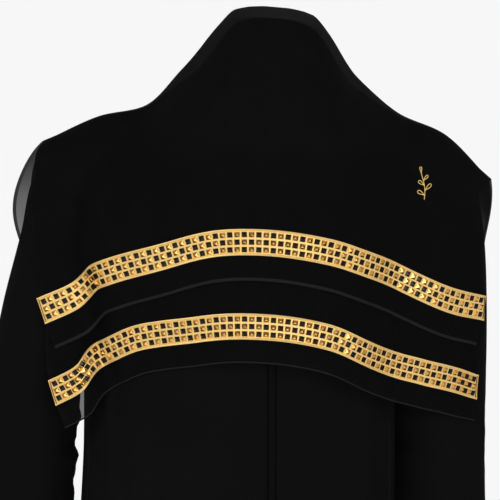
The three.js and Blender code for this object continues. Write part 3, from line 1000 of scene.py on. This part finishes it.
# %% Grow a piece
def grow(name, seed, tree, values):
    """Run a tree on a mesh, and keep what it grows as a plain piece."""
    maker = place(name + "_seed", seed)
    modifier = maker.modifiers.new("grow", "NODES")
    modifier.node_group = tree
    for item in tree.interface.items_tree:
        if item.in_out == "INPUT" and item.name in values:
            modifier[item.identifier] = values[item.name]
    graph = bpy.context.evaluated_depsgraph_get()
    mesh = bpy.data.meshes.new_from_object(maker.evaluated_get(graph))
    bpy.data.objects.remove(maker)
    mesh.name = name
    return place(name, mesh)


def set_attribute(mesh, name, kind, domain, values):
    layer = mesh.attributes.new(name, kind, domain)
    key = "vector" if kind == "FLOAT_VECTOR" else "value"
    layer.data.foreach_set(key, np.asarray(values).ravel())


print("helpers: grow, set_attribute")


# %% Studs on both ribbons
def stud_seed(name, grid, first_row):
    """One face for each stud, with its outward and sideways directions and its turn."""
    levels = HEM_TO_BAND + RAISED_EDGE + STUD_PITCH * np.arange(STUD_ROWS + 1)
    edge, facing = on_cloth(grid, first_row, levels, STUD_COLUMNS + 1, END_SHARE)
    points = edge + facing * (RIBBON_BACK + 0.0009)
    mesh = make_mesh(name, points, grid_faces(STUD_ROWS + 1, STUD_COLUMNS + 1), False)
    row, column = np.divmod(np.arange(STUD_ROWS * STUD_COLUMNS), STUD_COLUMNS)
    middle = facing[:-1, :-1] + facing[1:, 1:]
    side = edge[:-1, 1:] - edge[:-1, :-1] + edge[1:, 1:] - edge[1:, :-1]
    set_attribute(mesh, "checker", "INT", "FACE", row + column)
    set_attribute(mesh, "out", "FLOAT_VECTOR", "FACE", middle)
    set_attribute(mesh, "along", "FLOAT_VECTOR", "FACE", side)
    return mesh


STUD_SIZE = {"Width": 0.0058, "Rise": 0.0026, "Tip": 0.0005}
for level, grid, row, ribbon_piece in (
    ("upper", outer, TOP_ROW, upper_band),
    ("under", under, 0, under_band),
):
    for parity, kind, material in ((0, "black", ENAMEL), (1, "gold", GOLD)):
        studs = grow(
            f"{level}_{kind}_studs",
            stud_seed("cells", grid, row),
            STUD_TREE,
            {**STUD_SIZE, "Parity": parity, "Finish": material},
        )
        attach(studs, "scarf")
        print(studs.name, len(studs.data.polygons) // 6, "studs")
    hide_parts(f"{level}_stud_band")
    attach(ribbon_piece, "scarf")

# %% [markdown]
# ## The robe
# The body of the robe is a stack of rounded sections. Below the hips the cloth falls in
# soft vertical folds that grow towards the hem. Where the scarf rests, the robe is pressed
# just inside it: a ray from the middle of the body to each point is cut short at the scarf.

# %% Sections of the robe
# Height, then left, right, back and front, and how square the section is.
BODY = (
    (0.066, -0.050, 0.058, -0.056, 0.054, 2.0),
    (0.044, -0.088, 0.088, -0.068, 0.062, 1.8),
    (0.026, -0.126, 0.122, -0.078, 0.066, 1.7),
    (0.002, -0.188, 0.160, -0.088, 0.074, 1.7),
    (-0.040, -0.194, 0.160, -0.097, 0.090, 1.8),
    (-0.080, -0.192, 0.152, -0.103, 0.098, 1.9),
    (-0.150, -0.190, 0.138, -0.105, 0.106, 2.0),
    (-0.240, -0.2035, 0.135, -0.101, 0.108, 2.1),
    (-0.345, -0.206, 0.135, -0.098, 0.110, 2.1),
    (-0.450, -0.212, 0.136, -0.100, 0.116, 2.1),
    (-0.575, -0.218, 0.150, -0.108, 0.126, 2.1),
    (-0.700, -0.228, 0.168, -0.116, 0.138, 2.1),
    (-0.900, -0.248, 0.193, -0.132, 0.156, 2.1),
    (-1.100, -0.268, 0.220, -0.150, 0.172, 2.1),
    (-1.290, -0.288, 0.248, -0.166, 0.188, 2.1),
)
ROBE_HEM = -1.29
CLOTH = 0.0016
SEAM = 0.0004
TAPE = 0.0074
OPENING_X, PLACKET = -0.028, 0.028
PRESS_GAP = 0.0022


print("robe of", len(BODY), "sections")

# %% [markdown]
# The robe has to lie inside the scarf everywhere. The lower ply is flared a little past its
# edges, so that the cloth eases out from under it and shows no step.


# %% The scarf presses on the robe
def press_surface():
    """The scarf's inner face, flared at its edges so that the robe eases out from under it."""
    normal = grid_normals(under)
    rows = [under[:, 0] + normal[:, 0] * out - [0, 0, drop]
            for out, drop in ((0.030, 0.10), (0.010, 0.055), (0.0, 0.024))]
    grid = np.concatenate([np.stack(rows, 1), under], 1)
    facing = grid_normals(grid)
    for _ in range(2):
        for end, inner in ((0, 1), (-1, -2)):
            step = grid[end] - grid[inner]
            step *= 0.014 / np.linalg.norm(step, axis=1, keepdims=True)
            extra = (grid[end] + step + facing[end] * 0.006)[None]
            grid = np.concatenate([extra, grid] if end == 0 else [grid, extra])
            facing = grid_normals(grid)
    columns, rows = grid.shape[:2]
    return BVHTree.FromPolygons(
        grid.reshape(-1, 3).tolist(), grid_faces(columns, rows).tolist()
    )


SCARF_INSIDE = press_surface()


def press(points, middles=None, gap=PRESS_GAP, reach=0.05):
    """Points moved inside the scarf, where they would stand a little way out through it."""
    flat = points.reshape(-1, 3).copy()
    if middles is None:
        middles = np.full((len(flat), 2), (-0.015, 0.0))
    for k, point in enumerate(flat):
        axis = Vector((*middles[k], min(point[2], -0.04)))
        way = Vector(point) - axis
        far = way.length
        hit = SCARF_INSIDE.ray_cast(axis, way / far, far + gap)
        if hit[0] is not None and far - hit[3] < reach:
            flat[k] = axis + way / far * (hit[3] - gap)
    return flat.reshape(points.shape)


print("pressing surface of", len(under), "threads")

# %% [markdown]
# Loose cloth falls in folds that are deeper lower down and never evenly spaced. A wave
# round the body does this, as long as it meets itself at the side seam, so every angle in
# it is multiplied by a whole number.


# %% Folds of the skirt
def body_angle(z, x, front):
    """The angle at which the section at each height reaches x, on the front or back."""
    left, right, _, _, square = through(BODY, z).T
    share = (x - (left + right) / 2) / ((right - left) / 2)
    angle = np.arccos(np.sign(share) * np.minimum(np.abs(share), 1) ** (square / 2))
    return angle if front else -angle


def robe_folds(x, angle, z):
    """How far the cloth stands out at each angle and height."""
    start = -0.32 - 0.16 * (0.5 + 0.5 * np.sin(3 * angle + 2))
    drop = np.clip((start - z) / (start - ROBE_HEM), 0, 1)
    wave = np.cos(11 * angle + 1.3 * np.sin(2 * angle + 0.5) + 0.8 * np.sin(3 * angle))
    wave = 2 * (0.5 + 0.5 * wave) ** 1.35 - 1
    depth = 0.015 * drop**0.85 * (0.68 + 0.32 * np.sin(2 * angle + 1))
    still = np.where(
        angle > 0,
        1 - hill(x - OPENING_X, 0.055, 4),
        1 - 0.8 * hill(x, 0.035),
    )
    ripple = 0.0016 * np.sin(23 * angle + 9 * z) * hill(z + 0.47, 0.16)
    return (wave * depth + ripple) * still


deepest = float(robe_folds(0.2, np.linspace(-3, 3, 99), ROBE_HEM).max())
print("folds stand out by up to", round(deepest * 1000), "mm")


# %% Body grid
def body_grid(z, angle, inset=0.0):
    """Points of the robe's body for rows of heights and angles."""
    left, right, back, front, square = (v[:, None] for v in through(BODY, z).T)
    half = (right - left) / 2 - inset
    c, s = np.cos(angle), np.sin(angle)
    depth = np.where(s > 0, front, -back) - inset
    x = (left + right) / 2 + half * np.sign(c) * np.abs(c) ** (2 / square)
    y = depth * np.sign(s) * np.abs(s) ** (2 / square)
    way = np.stack([np.sign(c) * np.abs(c), s * half / depth], -1)
    way /= np.linalg.norm(way, axis=2, keepdims=True)
    fold = robe_folds(x, angle, z[:, None])
    height = np.broadcast_to(z[:, None], x.shape)
    return np.stack([x + way[:, :, 0] * fold, y + way[:, :, 1] * fold, height], -1)


def body_heights(step=0.0075):
    """Heights whose rows are evenly spaced down the cloth."""
    fine = np.linspace(0.066, ROBE_HEM, 3000)
    left, right, back = through(BODY, fine).T[:3]
    move = np.hypot(np.diff(fine), np.maximum(abs(np.diff(left)), abs(np.diff(back))))
    length = np.concatenate([[0], np.cumsum(move)])
    return np.interp(np.linspace(0, length[-1], int(length[-1] / step)), length, fine)


HEIGHTS = body_heights()
print("robe rows", len(HEIGHTS))

# %% [markdown]
# A sleeve is a tube of oval sections that hangs beside the body and flares a little at the
# cuff. The cloth buckles inside the elbow. The sleeve and the body meet at the armhole: each
# loses the faces that lie inside the other, so that an arm could go through.

# %% Sections of the sleeves
# Height, then left, right, back and front.
LEFT_SLEEVE = (
    (0.0, -0.207, -0.150, -0.025, 0.025),
    (-0.014, -0.232, -0.145, -0.040, 0.044),
    (-0.050, -0.258, -0.150, -0.050, 0.052),
    (-0.110, -0.272, -0.166, -0.054, 0.052),
    (-0.190, -0.293, -0.190, -0.055, 0.042),
    (-0.260, -0.306, -0.205, -0.054, 0.044),
    (-0.345, -0.314, -0.215, -0.052, 0.048),
    (-0.440, -0.328, -0.223, -0.050, 0.062),
    (-0.575, -0.350, -0.232, -0.046, 0.082),
)
RIGHT_SLEEVE = (
    (0.0, 0.122, 0.176, -0.018, 0.034),
    (-0.014, 0.118, 0.196, -0.030, 0.050),
    (-0.050, 0.120, 0.218, -0.036, 0.062),
    (-0.110, 0.126, 0.231, -0.034, 0.062),
    (-0.190, 0.132, 0.236, -0.030, 0.058),
    (-0.345, 0.134, 0.2375, -0.028, 0.062),
    (-0.440, 0.135, 0.242, -0.026, 0.072),
    (-0.575, 0.151, 0.268, -0.024, 0.092),
)
ELBOW, CUFF_Z, CUFF_DEPTH = -0.345, -0.575, 0.038
SLEEVE_SIDES = 72


print("sleeves of", len(LEFT_SLEEVE), "and", len(RIGHT_SLEEVE), "sections")


# %% Sleeve grid
def sleeve_grid(rows, z, inner, inset=0.0):
    """Rings of a sleeve. inner is the angle that faces the body."""
    left, right, back, front = (v[:, None] for v in through(rows, z).T)
    angle = np.linspace(-np.pi, np.pi, SLEEVE_SIDES, endpoint=False)[None]
    z = z[:, None]
    below = z - ELBOW + 0.02
    buckle = 0.65 * np.sin(below * 125 + 1.6 * np.cos(angle - inner) + 0.6 * np.sin(2 * angle))
    buckle += 0.35 * np.sin(below * 290 + 1.1 * np.sin(3 * angle))
    buckle = 0.0036 * buckle * hill(z - ELBOW, 0.055) * (0.55 + 0.45 * np.cos(angle - inner))
    drop = ease((-0.22 - z) / 0.36)
    fall = 0.0042 * drop * np.cos(5 * angle + 1.1 * np.sin(angle) + inner)
    out = buckle + fall - inset
    x = (left + right) / 2 + ((right - left) / 2 + out) * np.cos(angle)
    y = (back + front) / 2 + ((front - back) / 2 + out) * np.sin(angle)
    return np.stack([x, y, np.broadcast_to(z, x.shape)], -1)


print("sleeve ring", sleeve_grid(LEFT_SLEEVE, np.array([ELBOW]), 0.0).shape[1], "points")


# %% Armholes
def inside_sleeve(points, rows, margin):
    left, right, back, front = through(rows, points[:, 2]).T
    x = (points[:, 0] - (left + right) / 2) / ((right - left) / 2 - margin)
    y = (points[:, 1] - (back + front) / 2) / ((front - back) / 2 - margin)
    return (x * x + y * y < 1) & (points[:, 2] < 0) & (points[:, 2] > CUFF_Z)


def inside_body(points, margin):
    left, right, back, front, square = through(BODY, points[:, 2]).T
    x = np.abs(points[:, 0] - (left + right) / 2) / ((right - left) / 2 - margin)
    depth = np.where(points[:, 1] > 0, front, -back) - margin
    return x**square + (np.abs(points[:, 1]) / depth) ** square < 1


crown_point = np.array([[-0.17, 0, -0.06]])
print("the sleeve's crown is inside the body:", bool(inside_body(crown_point, 0.0)[0]))

# %% [markdown]
# One function makes every sheet of the robe: it drops the faces inside an armhole, gives the
# sheet its wall and its finish, hides the solids it stands for and ties it to its body.


# %% Cloth pieces
def cloth_piece(name, points, faces, body, nodes, wall=CLOTH, drop=None, finish=CREPE):
    """A sheet of cloth with its wall, less the faces whose corners are all dropped."""
    if drop is not None:
        faces = faces[~drop[faces].all(1)]
    used = np.unique(faces)
    again = np.zeros(len(points), int)
    again[used] = np.arange(len(used))
    made = place(name, make_mesh(name, points[used], again[faces]), finish)
    thicken(made, wall)
    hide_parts(*nodes)
    if body:
        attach(made, body)
    return made


def outward(faces, points, axis=None):
    """Faces turned to look away from an upright axis, or else from their own middle."""
    a, b, d = (points[faces[:, k]] for k in (0, 1, 3))
    axis = points.mean(0)[:2] if axis is None else axis
    away = points[faces].mean(1)[:, :2] - axis
    facing = (np.cross(b - a, d - a)[:, :2] * away).sum()
    return faces if facing > 0 else faces[:, ::-1]


print("cloth is", CLOTH * 1000, "mm thick")

# %% [markdown]
# The body is sewn from four panels, two behind and two in front. Each is a strip of the
# same stack of sections, between its own pair of seams.

# %% Body panels
CLOTH_PIECES = {}
PANELS = {
    "back_left_panel": (lambda z: np.full_like(z, -np.pi), lambda z: body_angle(z, -TAPE / 2, 0)),
    "back_right_panel": (lambda z: body_angle(z, TAPE / 2, 0), np.zeros_like),
    "front_right_panel": (
        np.zeros_like,
        lambda z: body_angle(z, OPENING_X + PLACKET / 2 + SEAM, 1),
    ),
    "front_left_panel": (
        lambda z: body_angle(z, OPENING_X - PLACKET / 2 - SEAM, 1),
        lambda z: np.full_like(z, np.pi),
    ),
}
PANEL_COLUMNS = 64


print(len(PANELS), "panels")


# %% Sew the panels
def spread(z, start, end, columns):
    return start[:, None] + (end - start)[:, None] * np.linspace(0, 1, columns)


def body_panel(name, start, end):
    grid = body_grid(HEIGHTS, spread(HEIGHTS, start(HEIGHTS), end(HEIGHTS), PANEL_COLUMNS))
    if name.startswith("back"):
        groove = hill(np.abs(grid[:, :, 0]) - 0.0037, 0.0016)
        grid[:, :, 1] += 0.0009 * groove * (grid[:, :, 2] < 0.04)
    points = press(grid).reshape(-1, 3)
    faces = outward(grid_faces(len(HEIGHTS), PANEL_COLUMNS), points, (-0.03, 0.0))
    rows = LEFT_SLEEVE if "left" in name else RIGHT_SLEEVE
    drop = inside_sleeve(points, rows, 0.004)
    piece = cloth_piece("robe_" + name, points, faces, "robe", [name], drop=drop)
    CLOTH_PIECES[name] = (piece, grid)
    return piece


for name, (start, end) in PANELS.items():
    piece = body_panel(name, start, end)
    print(piece.name, len(piece.data.polygons), "faces")

# %% [markdown]
# A sleeve's crown is closed by a low dome that lies inside the armhole. Its cloth crosses
# the elbow, so it is one piece, and it is tied to no body.

# %% Sleeves
SLEEVES = {"left": (LEFT_SLEEVE, 0.0), "right": (RIGHT_SLEEVE, math.pi)}
CUFF_TOP = CUFF_Z + CUFF_DEPTH
sleeve_pieces = {}
for side, (rows, inner) in SLEEVES.items():
    z = np.concatenate([np.linspace(0, -0.014, 4)[:-1], np.linspace(-0.014, CUFF_TOP, 96)])
    rings = sleeve_grid(rows, z, inner)
    crown = rings[0].mean(0)
    dome = [crown + (rings[0] - crown) * share + [0, 0, rise]
            for share, rise in ((0.08, 0.006), (0.45, 0.005), (0.8, 0.003))]
    rings = np.concatenate([np.stack(dome), rings])
    middles = np.repeat(rings.mean(1)[:, :2], SLEEVE_SIDES, axis=0)
    rings = press(rings, middles, reach=0.03)
    points = rings.reshape(-1, 3)
    faces = outward(grid_faces(len(rings), SLEEVE_SIDES, closed=True), points)
    drop = inside_body(points, 0.005) & (points[:, 2] > -0.26)
    sleeve = cloth_piece(
        f"{side}_sleeve", points, faces, None,
        [f"{side}_upper_sleeve", f"{side}_lower_sleeve"], drop=drop,
    )
    sleeve_pieces[side] = sleeve
    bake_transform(sleeve)
    print(sleeve.name, len(sleeve.data.polygons), "faces")

# %% [markdown]
# The front closes with two bands: an upper one, and a lap behind it that carries the other
# halves of the press studs. A woven tape, a little crowned, covers the centre-back seam, and
# the stand collar is one band whose under end laps behind its upper end.


# %% Strips of cloth
def strip(name, grid, body, nodes, wall, finish=CREPE):
    points = grid.reshape(-1, 3)
    faces = outward(grid_faces(*grid.shape[:2]), points, (0.0, 0.0))
    made = cloth_piece(name, points, faces, body, nodes, wall=wall, finish=finish)
    CLOTH_PIECES[name] = (made, grid)
    return made


print("helper: strip")


# %% Front bands
def front_strip(name, right, left, inset, z):
    angles = spread(z, body_angle(z, right, 1), body_angle(z, left, 1), 12)
    grid = press(body_grid(z, angles, inset), gap=PRESS_GAP + inset)
    return strip("robe_" + name, grid, "robe", [name], CLOTH)


HALF_BAND = PLACKET / 2
front_strip("front_over_band", OPENING_X + HALF_BAND, OPENING_X - HALF_BAND, 0.0, HEIGHTS)
lap_heights = HEIGHTS[(HEIGHTS < 0.060) & (HEIGHTS > ROBE_HEM + 0.002)]
front_strip("front_under_band", OPENING_X + HALF_BAND - 0.002, OPENING_X - HALF_BAND - 0.012,
            CLOTH + SEAM + 0.0002, lap_heights)


print("front bands", PLACKET * 1000, "mm wide")

# %% Centre-back tape
tape_angles = spread(
    HEIGHTS, body_angle(HEIGHTS, -TAPE / 2, 0), body_angle(HEIGHTS, TAPE / 2, 0), 9
)
tape_grid = body_grid(HEIGHTS, tape_angles)
tape_grid[:, :, 1] -= 0.0005 * (1 - (tape_grid[:, :, 0] / (TAPE / 2)) ** 2) - 0.0001
strip("back_tape", press(tape_grid), "robe", ["centre_back_seam_tape"], CLOTH, TRIM)


print("tape", TAPE * 1000, "mm wide")

# %% Collar
NECK = BODY[0]
COLLAR_HEIGHT, COLLAR_WALL = 0.014, 0.0022


def neck_angle(x):
    return math.acos((x - (NECK[1] + NECK[2]) / 2) / ((NECK[2] - NECK[1]) / 2))


def collar_grid():
    over, lap = neck_angle(OPENING_X - HALF_BAND), neck_angle(OPENING_X + HALF_BAND - 0.002)
    angle = np.linspace(over, lap - 2 * np.pi, 110)[None, :]
    up = np.linspace(0, 1, 7)[:, None]
    behind = (COLLAR_WALL + 0.0004) * ease((0.30 - (angle - lap + 2 * np.pi)) / 0.12)
    narrower = 0.004 * up + behind
    middle = (NECK[1] + NECK[2]) / 2
    x = middle + ((NECK[2] - NECK[1]) / 2 - narrower) * np.cos(angle)
    depth = np.where(np.sin(angle) > 0, NECK[4], -NECK[3]) - narrower
    z = np.broadcast_to(NECK[0] + SEAM + COLLAR_HEIGHT * up, x.shape)
    return np.stack([x, depth * np.sin(angle), z], -1)


collar = strip("collar", collar_grid(), "robe", ["collar_band"], COLLAR_WALL, TRIM)
print("collar", len(collar.data.polygons), "faces")

# %% [markdown]
# Inside the collar are a hanging loop of twisted cord and a blank label, folded at its top.
# The cuffs are turned bands at the ends of the sleeves, and move with the forearms.

# %% Hanging loop
LOOP_PATH = (
    (0.0, -0.020, -0.0425, 0.0764),
    (0.25, -0.017, -0.0415, 0.0604),
    (0.5, 0.004, -0.0415, 0.0504),
    (0.75, 0.025, -0.0415, 0.0604),
    (1.0, 0.028, -0.0425, 0.0764),
)
steps = np.linspace(0, 1, 61)
path = through(LOOP_PATH, steps)
heading = np.gradient(path, axis=0)
heading /= np.linalg.norm(heading, axis=1, keepdims=True)
sideways = np.cross(heading, [0, 1.0, 0])
sideways /= np.linalg.norm(sideways, axis=1, keepdims=True)
turns = np.linspace(0, 2 * np.pi, 12, endpoint=False)[None]
twist = 0.0009 + 0.0003 * np.cos(2 * turns + 70 * steps[:, None])
around = np.cos(turns)[:, :, None] * sideways[:, None]
around = around + np.sin(turns)[:, :, None] * np.array([0, 1.0, 0])
rings = path[:, None] + twist[:, :, None] * around
loop = tube("hanging_loop", rings, TRIM)
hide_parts("hanger_loop")
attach(loop, "robe")


loop_length = float(np.linalg.norm(np.diff(path, axis=0), axis=1).sum())
print("loop", round(loop_length, 3), "m long")

# %% Label
across, down = np.linspace(-0.015, 0.015, 13), np.linspace(0, 1, 17)[:, None]
curl = 0.0012 * down**3 * np.cos(across * 120)
label_grid = np.stack(np.broadcast_arrays(
    0.004 + across, -0.0478 + curl, 0.0764 - 0.032 * down - 0.0006 * np.cos(across * 300) * down
), -1)
label = strip("label", label_grid, "robe", ["blank_label"], 0.0005, LABEL)


print("label", len(label.data.polygons), "faces")

# %% Cuffs
for side, (rows, inner) in SLEEVES.items():
    z = np.linspace(CUFF_TOP - SEAM, CUFF_Z, 16)
    rings = sleeve_grid(rows, z, inner, 0.0)
    rings = rings + (rings - rings.mean(1, keepdims=True)) * 0.006 * np.sin(
        np.linspace(0, np.pi, 16)
    )[:, None, None]
    points = rings.reshape(-1, 3)
    faces = outward(grid_faces(len(rings), SLEEVE_SIDES, closed=True), points)
    cuff = cloth_piece(
        f"{side}_cuff", points, faces, f"{side}_forearm_sleeve",
        [f"{side}_cuff_band"], wall=0.0022,
    )
    print(cuff.name, len(cuff.data.polygons), "faces")

# %% [markdown]
# The press studs are small turned metal parts, and the frame's own solids already have
# their shape, so they are kept and only get their finish.

# %% Press studs
for node in bpy.data.objects:
    if node.name.startswith("press_stud_"):
        node.data.materials.clear()
        node.data.materials.append(GUNMETAL)
print("gunmetal on the press studs")

# %% [markdown]
# ## Sewing
# Stitches are the same small capsule again and again along a line, so Geometry Nodes lays
# them: the line becomes a curve, points are set along it at an even spacing, and a stitch
# is turned at each point to lie along the line and face outwards.


# %% Stitch tree
def stitch_tree():
    graph, given = geometry_graph(
        "stitches",
        {"Spacing": "Float", "Length": "Float", "Width": "Float", "Finish": "Material"},
    )
    curve = graph.node("GeometryNodeMeshToCurve", (), {"Mesh": given.out("Geometry")})
    points = graph.node(
        "GeometryNodeCurveToPoints", {"mode": "LENGTH"},
        {"Curve": curve, "Length": given.out("Spacing")},
    )
    bead = graph.node("GeometryNodeMeshIcoSphere", (), {"Radius": 0.5, "Subdivisions": 1})
    size = graph.node(
        "ShaderNodeCombineXYZ", (),
        {"X": given.out("Length"), "Y": given.out("Width"), "Z": given.out("Width")},
    )
    turn = facing_turn(graph, "Z", attribute(graph, "out"), "X", points.out("Tangent"))
    laid = graph.node(
        "GeometryNodeInstanceOnPoints", (),
        {"Points": points, "Instance": bead, "Rotation": turn, "Scale": size},
    )
    return end_graph(graph, given, laid)


STITCH_TREE = stitch_tree()
print("stitch tree of", len(STITCH_TREE.nodes), "nodes")


# %% Lines to sew
def line_seed(lines):
    """One mesh of several lines, each a pair of points and outward directions."""
    points = np.concatenate([line for line, _ in lines])
    outs = np.concatenate([way for _, way in lines])
    edges, start = [], 0
    for line, _ in lines:
        edges += [(start + k, start + k + 1) for k in range(len(line) - 1)]
        start += len(line)
    mesh = bpy.data.meshes.new("line")
    mesh.from_pydata(points.tolist(), edges, [])
    set_attribute(mesh, "out", "FLOAT_VECTOR", "POINT", outs)
    return mesh


def along_grid(name, row=None, column=None, out=0.0):
    """A line of stitches on a cloth piece, along one of its rows or columns."""
    grid = CLOTH_PIECES[name][1] if isinstance(name, str) else name
    a, b = np.gradient(grid, axis=0), np.gradient(grid, axis=1)
    way = np.cross(a, b)
    way /= np.linalg.norm(way, axis=2, keepdims=True)
    centre = grid.mean((0, 1)) * [1, 1, 0]
    if (way * (grid - centre) * [1, 1, 0]).sum() < 0:
        way = -way
    line, way = (grid[row], way[row]) if column is None else (grid[:, column], way[:, column])
    return line + way * out, way


print("a line of", len(along_grid("collar", row=1)[0]), "points round the collar")

# %% Sewing
BEAD_FACES = 20
STITCH = {"Spacing": 0.0032, "Length": 0.0022, "Width": 0.00045, "Finish": THREAD}


def stitches(name, lines, body, **values):
    made = grow(name, line_seed(lines), STITCH_TREE, {**STITCH, **values})
    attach(made, body)
    print(name, len(made.data.polygons) // BEAD_FACES)


hem_row = int(np.argmin(np.abs(HEIGHTS - (ROBE_HEM + 0.022))))
hem_lines = [along_grid(name, row=hem_row, out=0.0001) for name in PANELS]
stitches("hem_stitches", hem_lines, "robe", Spacing=0.006)
placket_lines = [along_grid("robe_front_over_band", column=k) for k in (1, 10)]
stitches("placket_stitches", placket_lines, "robe")
collar_lines = [along_grid("collar", row=k) for k in (1, 5)]
stitches("collar_stitches", collar_lines, "robe")
for side, (rows, inner) in SLEEVES.items():
    rings = sleeve_grid(rows, np.linspace(CUFF_TOP - 0.003, CUFF_Z + 0.004, 9), inner)
    rings += (rings - rings.mean(1, keepdims=True)) * 0.008
    rings = np.concatenate([rings, rings[:, :1]], 1)
    lines = [along_grid(rings, row=k) for k in (0, 8)]
    stitches(f"{side}_cuff_stitches", lines, f"{side}_forearm_sleeve")

# %% [markdown]
# The embroidery on the upper ply is a small generic sprig: a bent stem and five leaves, each
# a closed loop. The lines are laid on the cloth, and a thin round thread is swept along them.


# %% Drawing of the sprig
def sprig_lines():
    rise = np.linspace(0, 1, 40)
    stem = np.stack([0.0015 * np.sin(4 * rise) - 0.002 * rise, 0.028 * rise - 0.014], -1)
    lines = [stem]
    for at, lean, long in ((6, -1.0, 9.0), (13, 0.85, 9.0), (20, -0.9, 8.0), (27, 0.8, 7.0),
                           (38, -0.1, 6.0)):
        loop = np.linspace(0, 2 * np.pi, 28)
        reach = (1 - np.cos(loop)) / 2 * long * 0.001
        width = np.sin(loop) * np.sin(loop / 2) ** 2 * long * 0.00028
        c, s = math.cos(lean), math.sin(lean)
        lines.append(stem[at] + np.stack([reach * s + width * c, reach * c - width * s], -1))
    return lines


print(len(sprig_lines()), "lines in the sprig")


# %% Thread tree
def thread_tree():
    graph, given = geometry_graph("thread", {"Radius": "Float", "Finish": "Material"})
    curve = graph.node("GeometryNodeMeshToCurve", (), {"Mesh": given.out("Geometry")})
    ring = graph.node(
        "GeometryNodeCurvePrimitiveCircle", (), {"Resolution": 6, "Radius": given.out("Radius")}
    )
    swept = graph.node(
        "GeometryNodeCurveToMesh", (), {"Curve": curve, "Profile Curve": ring, "Fill Caps": True}
    )
    return end_graph(graph, given, swept)


THREAD_TREE = thread_tree()
print("thread tree of", len(THREAD_TREE.nodes), "nodes")

# %% Sprig on the cloth
OUTER_FACE = BVHTree.FromPolygons(
    outer.reshape(-1, 3).tolist(), grid_faces(*outer.shape[:2]).tolist()
)


def laid_on_scarf(line, out):
    """A flat line placed by the right shoulder, moved on to the cloth behind it."""
    points, ways = [], []
    for x, z in line:
        start = Vector((0.162 + x, -0.3, -0.052 + z))
        hit = OUTER_FACE.ray_cast(start, Vector((0, 1, 0)))
        way = hit[1] if hit[1].y < 0 else -hit[1]
        points.append(hit[0] + way * out)
        ways.append(way)
    return np.array(points), np.array(ways)


sprig = grow(
    "embroidered_sprig",
    line_seed([laid_on_scarf(line, 0.0004) for line in sprig_lines()]),
    THREAD_TREE,
    {"Radius": 0.00042, "Finish": SATIN},
)
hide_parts("embroidered_motif")
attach(sprig, "scarf")
print("sprig", len(sprig.data.polygons), "faces")

# %% [markdown]
# The raw ends of each ribbon are turned under and held by one dark line of thread.


# %% Ribbon ends
def ribbon_ends(name, grid, first_row):
    levels = np.linspace(HEM_TO_BAND + 0.0008, HEM_TO_BAND + BAND_HEIGHT - 0.0008, 12)
    points, ways = on_cloth(grid, first_row, levels, 301)
    points = points + ways * (RIBBON_BACK + 0.0015)
    lines = [(points[:, k], ways[:, k]) for k in (1, 299)]
    made = grow(name, line_seed(lines), THREAD_TREE, {"Radius": 0.00035, "Finish": THREAD})
    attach(made, "scarf")
    return made


RIBBON_ENDS = [
    ribbon_ends("upper_ribbon_ends", outer, TOP_ROW),
    ribbon_ends("under_ribbon_ends", under, 0),
]
print(len(RIBBON_ENDS), "pairs of ribbon ends")

# %% [markdown]
# ## The cloth, piece by piece
# Last, a table lists each robe panel with the size it was cut to and what is sewn on it, and
# the pieces sewn on the panels and sleeves are looked up by name. The scarf is one straight
# length. The robe's panels are cut to a curve at the armhole and shoulder, so their own areas
# are given too.

# %% Sheets
ROBE_CLOTH = [CLOTH_PIECES[name][0] for name in PANELS]
ROBE_CLOTH + list(sleeve_pieces.values())
PANEL_CUTS = {
    "back_left_panel": ((0.41, 1.45), 0.390, ["back_tape", "hem_stitches"]),
    "back_right_panel": (
        (0.35, 1.43), 0.311, ["collar", "collar_stitches", "hanging_loop", "label"]
    ),
    "front_right_panel": ((0.39, 1.43), 0.350, ["robe_front_over_band", "placket_stitches"]),
    "front_left_panel": ((0.375, 1.45), 0.349, ["robe_front_under_band"]),
}
for name, (flat, area, sewn) in PANEL_CUTS.items():
    sewn = [bpy.data.objects[piece] for piece in sewn]
for side, sleeve in sleeve_pieces.items():
    sewn = [bpy.data.objects[f"{side}_{piece}"] for piece in ("cuff", "cuff_stitches")]
print(1 + len(PANEL_CUTS) + len(sleeve_pieces), "sheets of cloth")

# %% [markdown]
# The floor is a pale round disc just below the hem. It is part of the studio and not of
# the object.

# %% Floor
FLOOR_RADIUS, FLOOR_SIDES, FLOOR_GAP = 2.2, 96, 0.012
floor_mesh = bpy.data.meshes.new("floor")
ring = [
    (FLOOR_RADIUS * math.cos(a), FLOOR_RADIUS * math.sin(a), ROBE_HEM - FLOOR_GAP)
    for a in np.linspace(0, 2 * np.pi, FLOOR_SIDES, endpoint=False)
]
floor_mesh.from_pydata(ring, [], [tuple(range(FLOOR_SIDES))])


def floor_face(graph):
    haze = grain(graph, 3)
    return {"Base Color": shades(graph, haze, (0.80, 0.80, 0.79), (0.84, 0.84, 0.83))}


floor = place("floor", floor_mesh, finish("floor", (0.82, 0.82, 0.81), 0.7, floor_face))
print("floor", 2 * FLOOR_RADIUS, "m across")
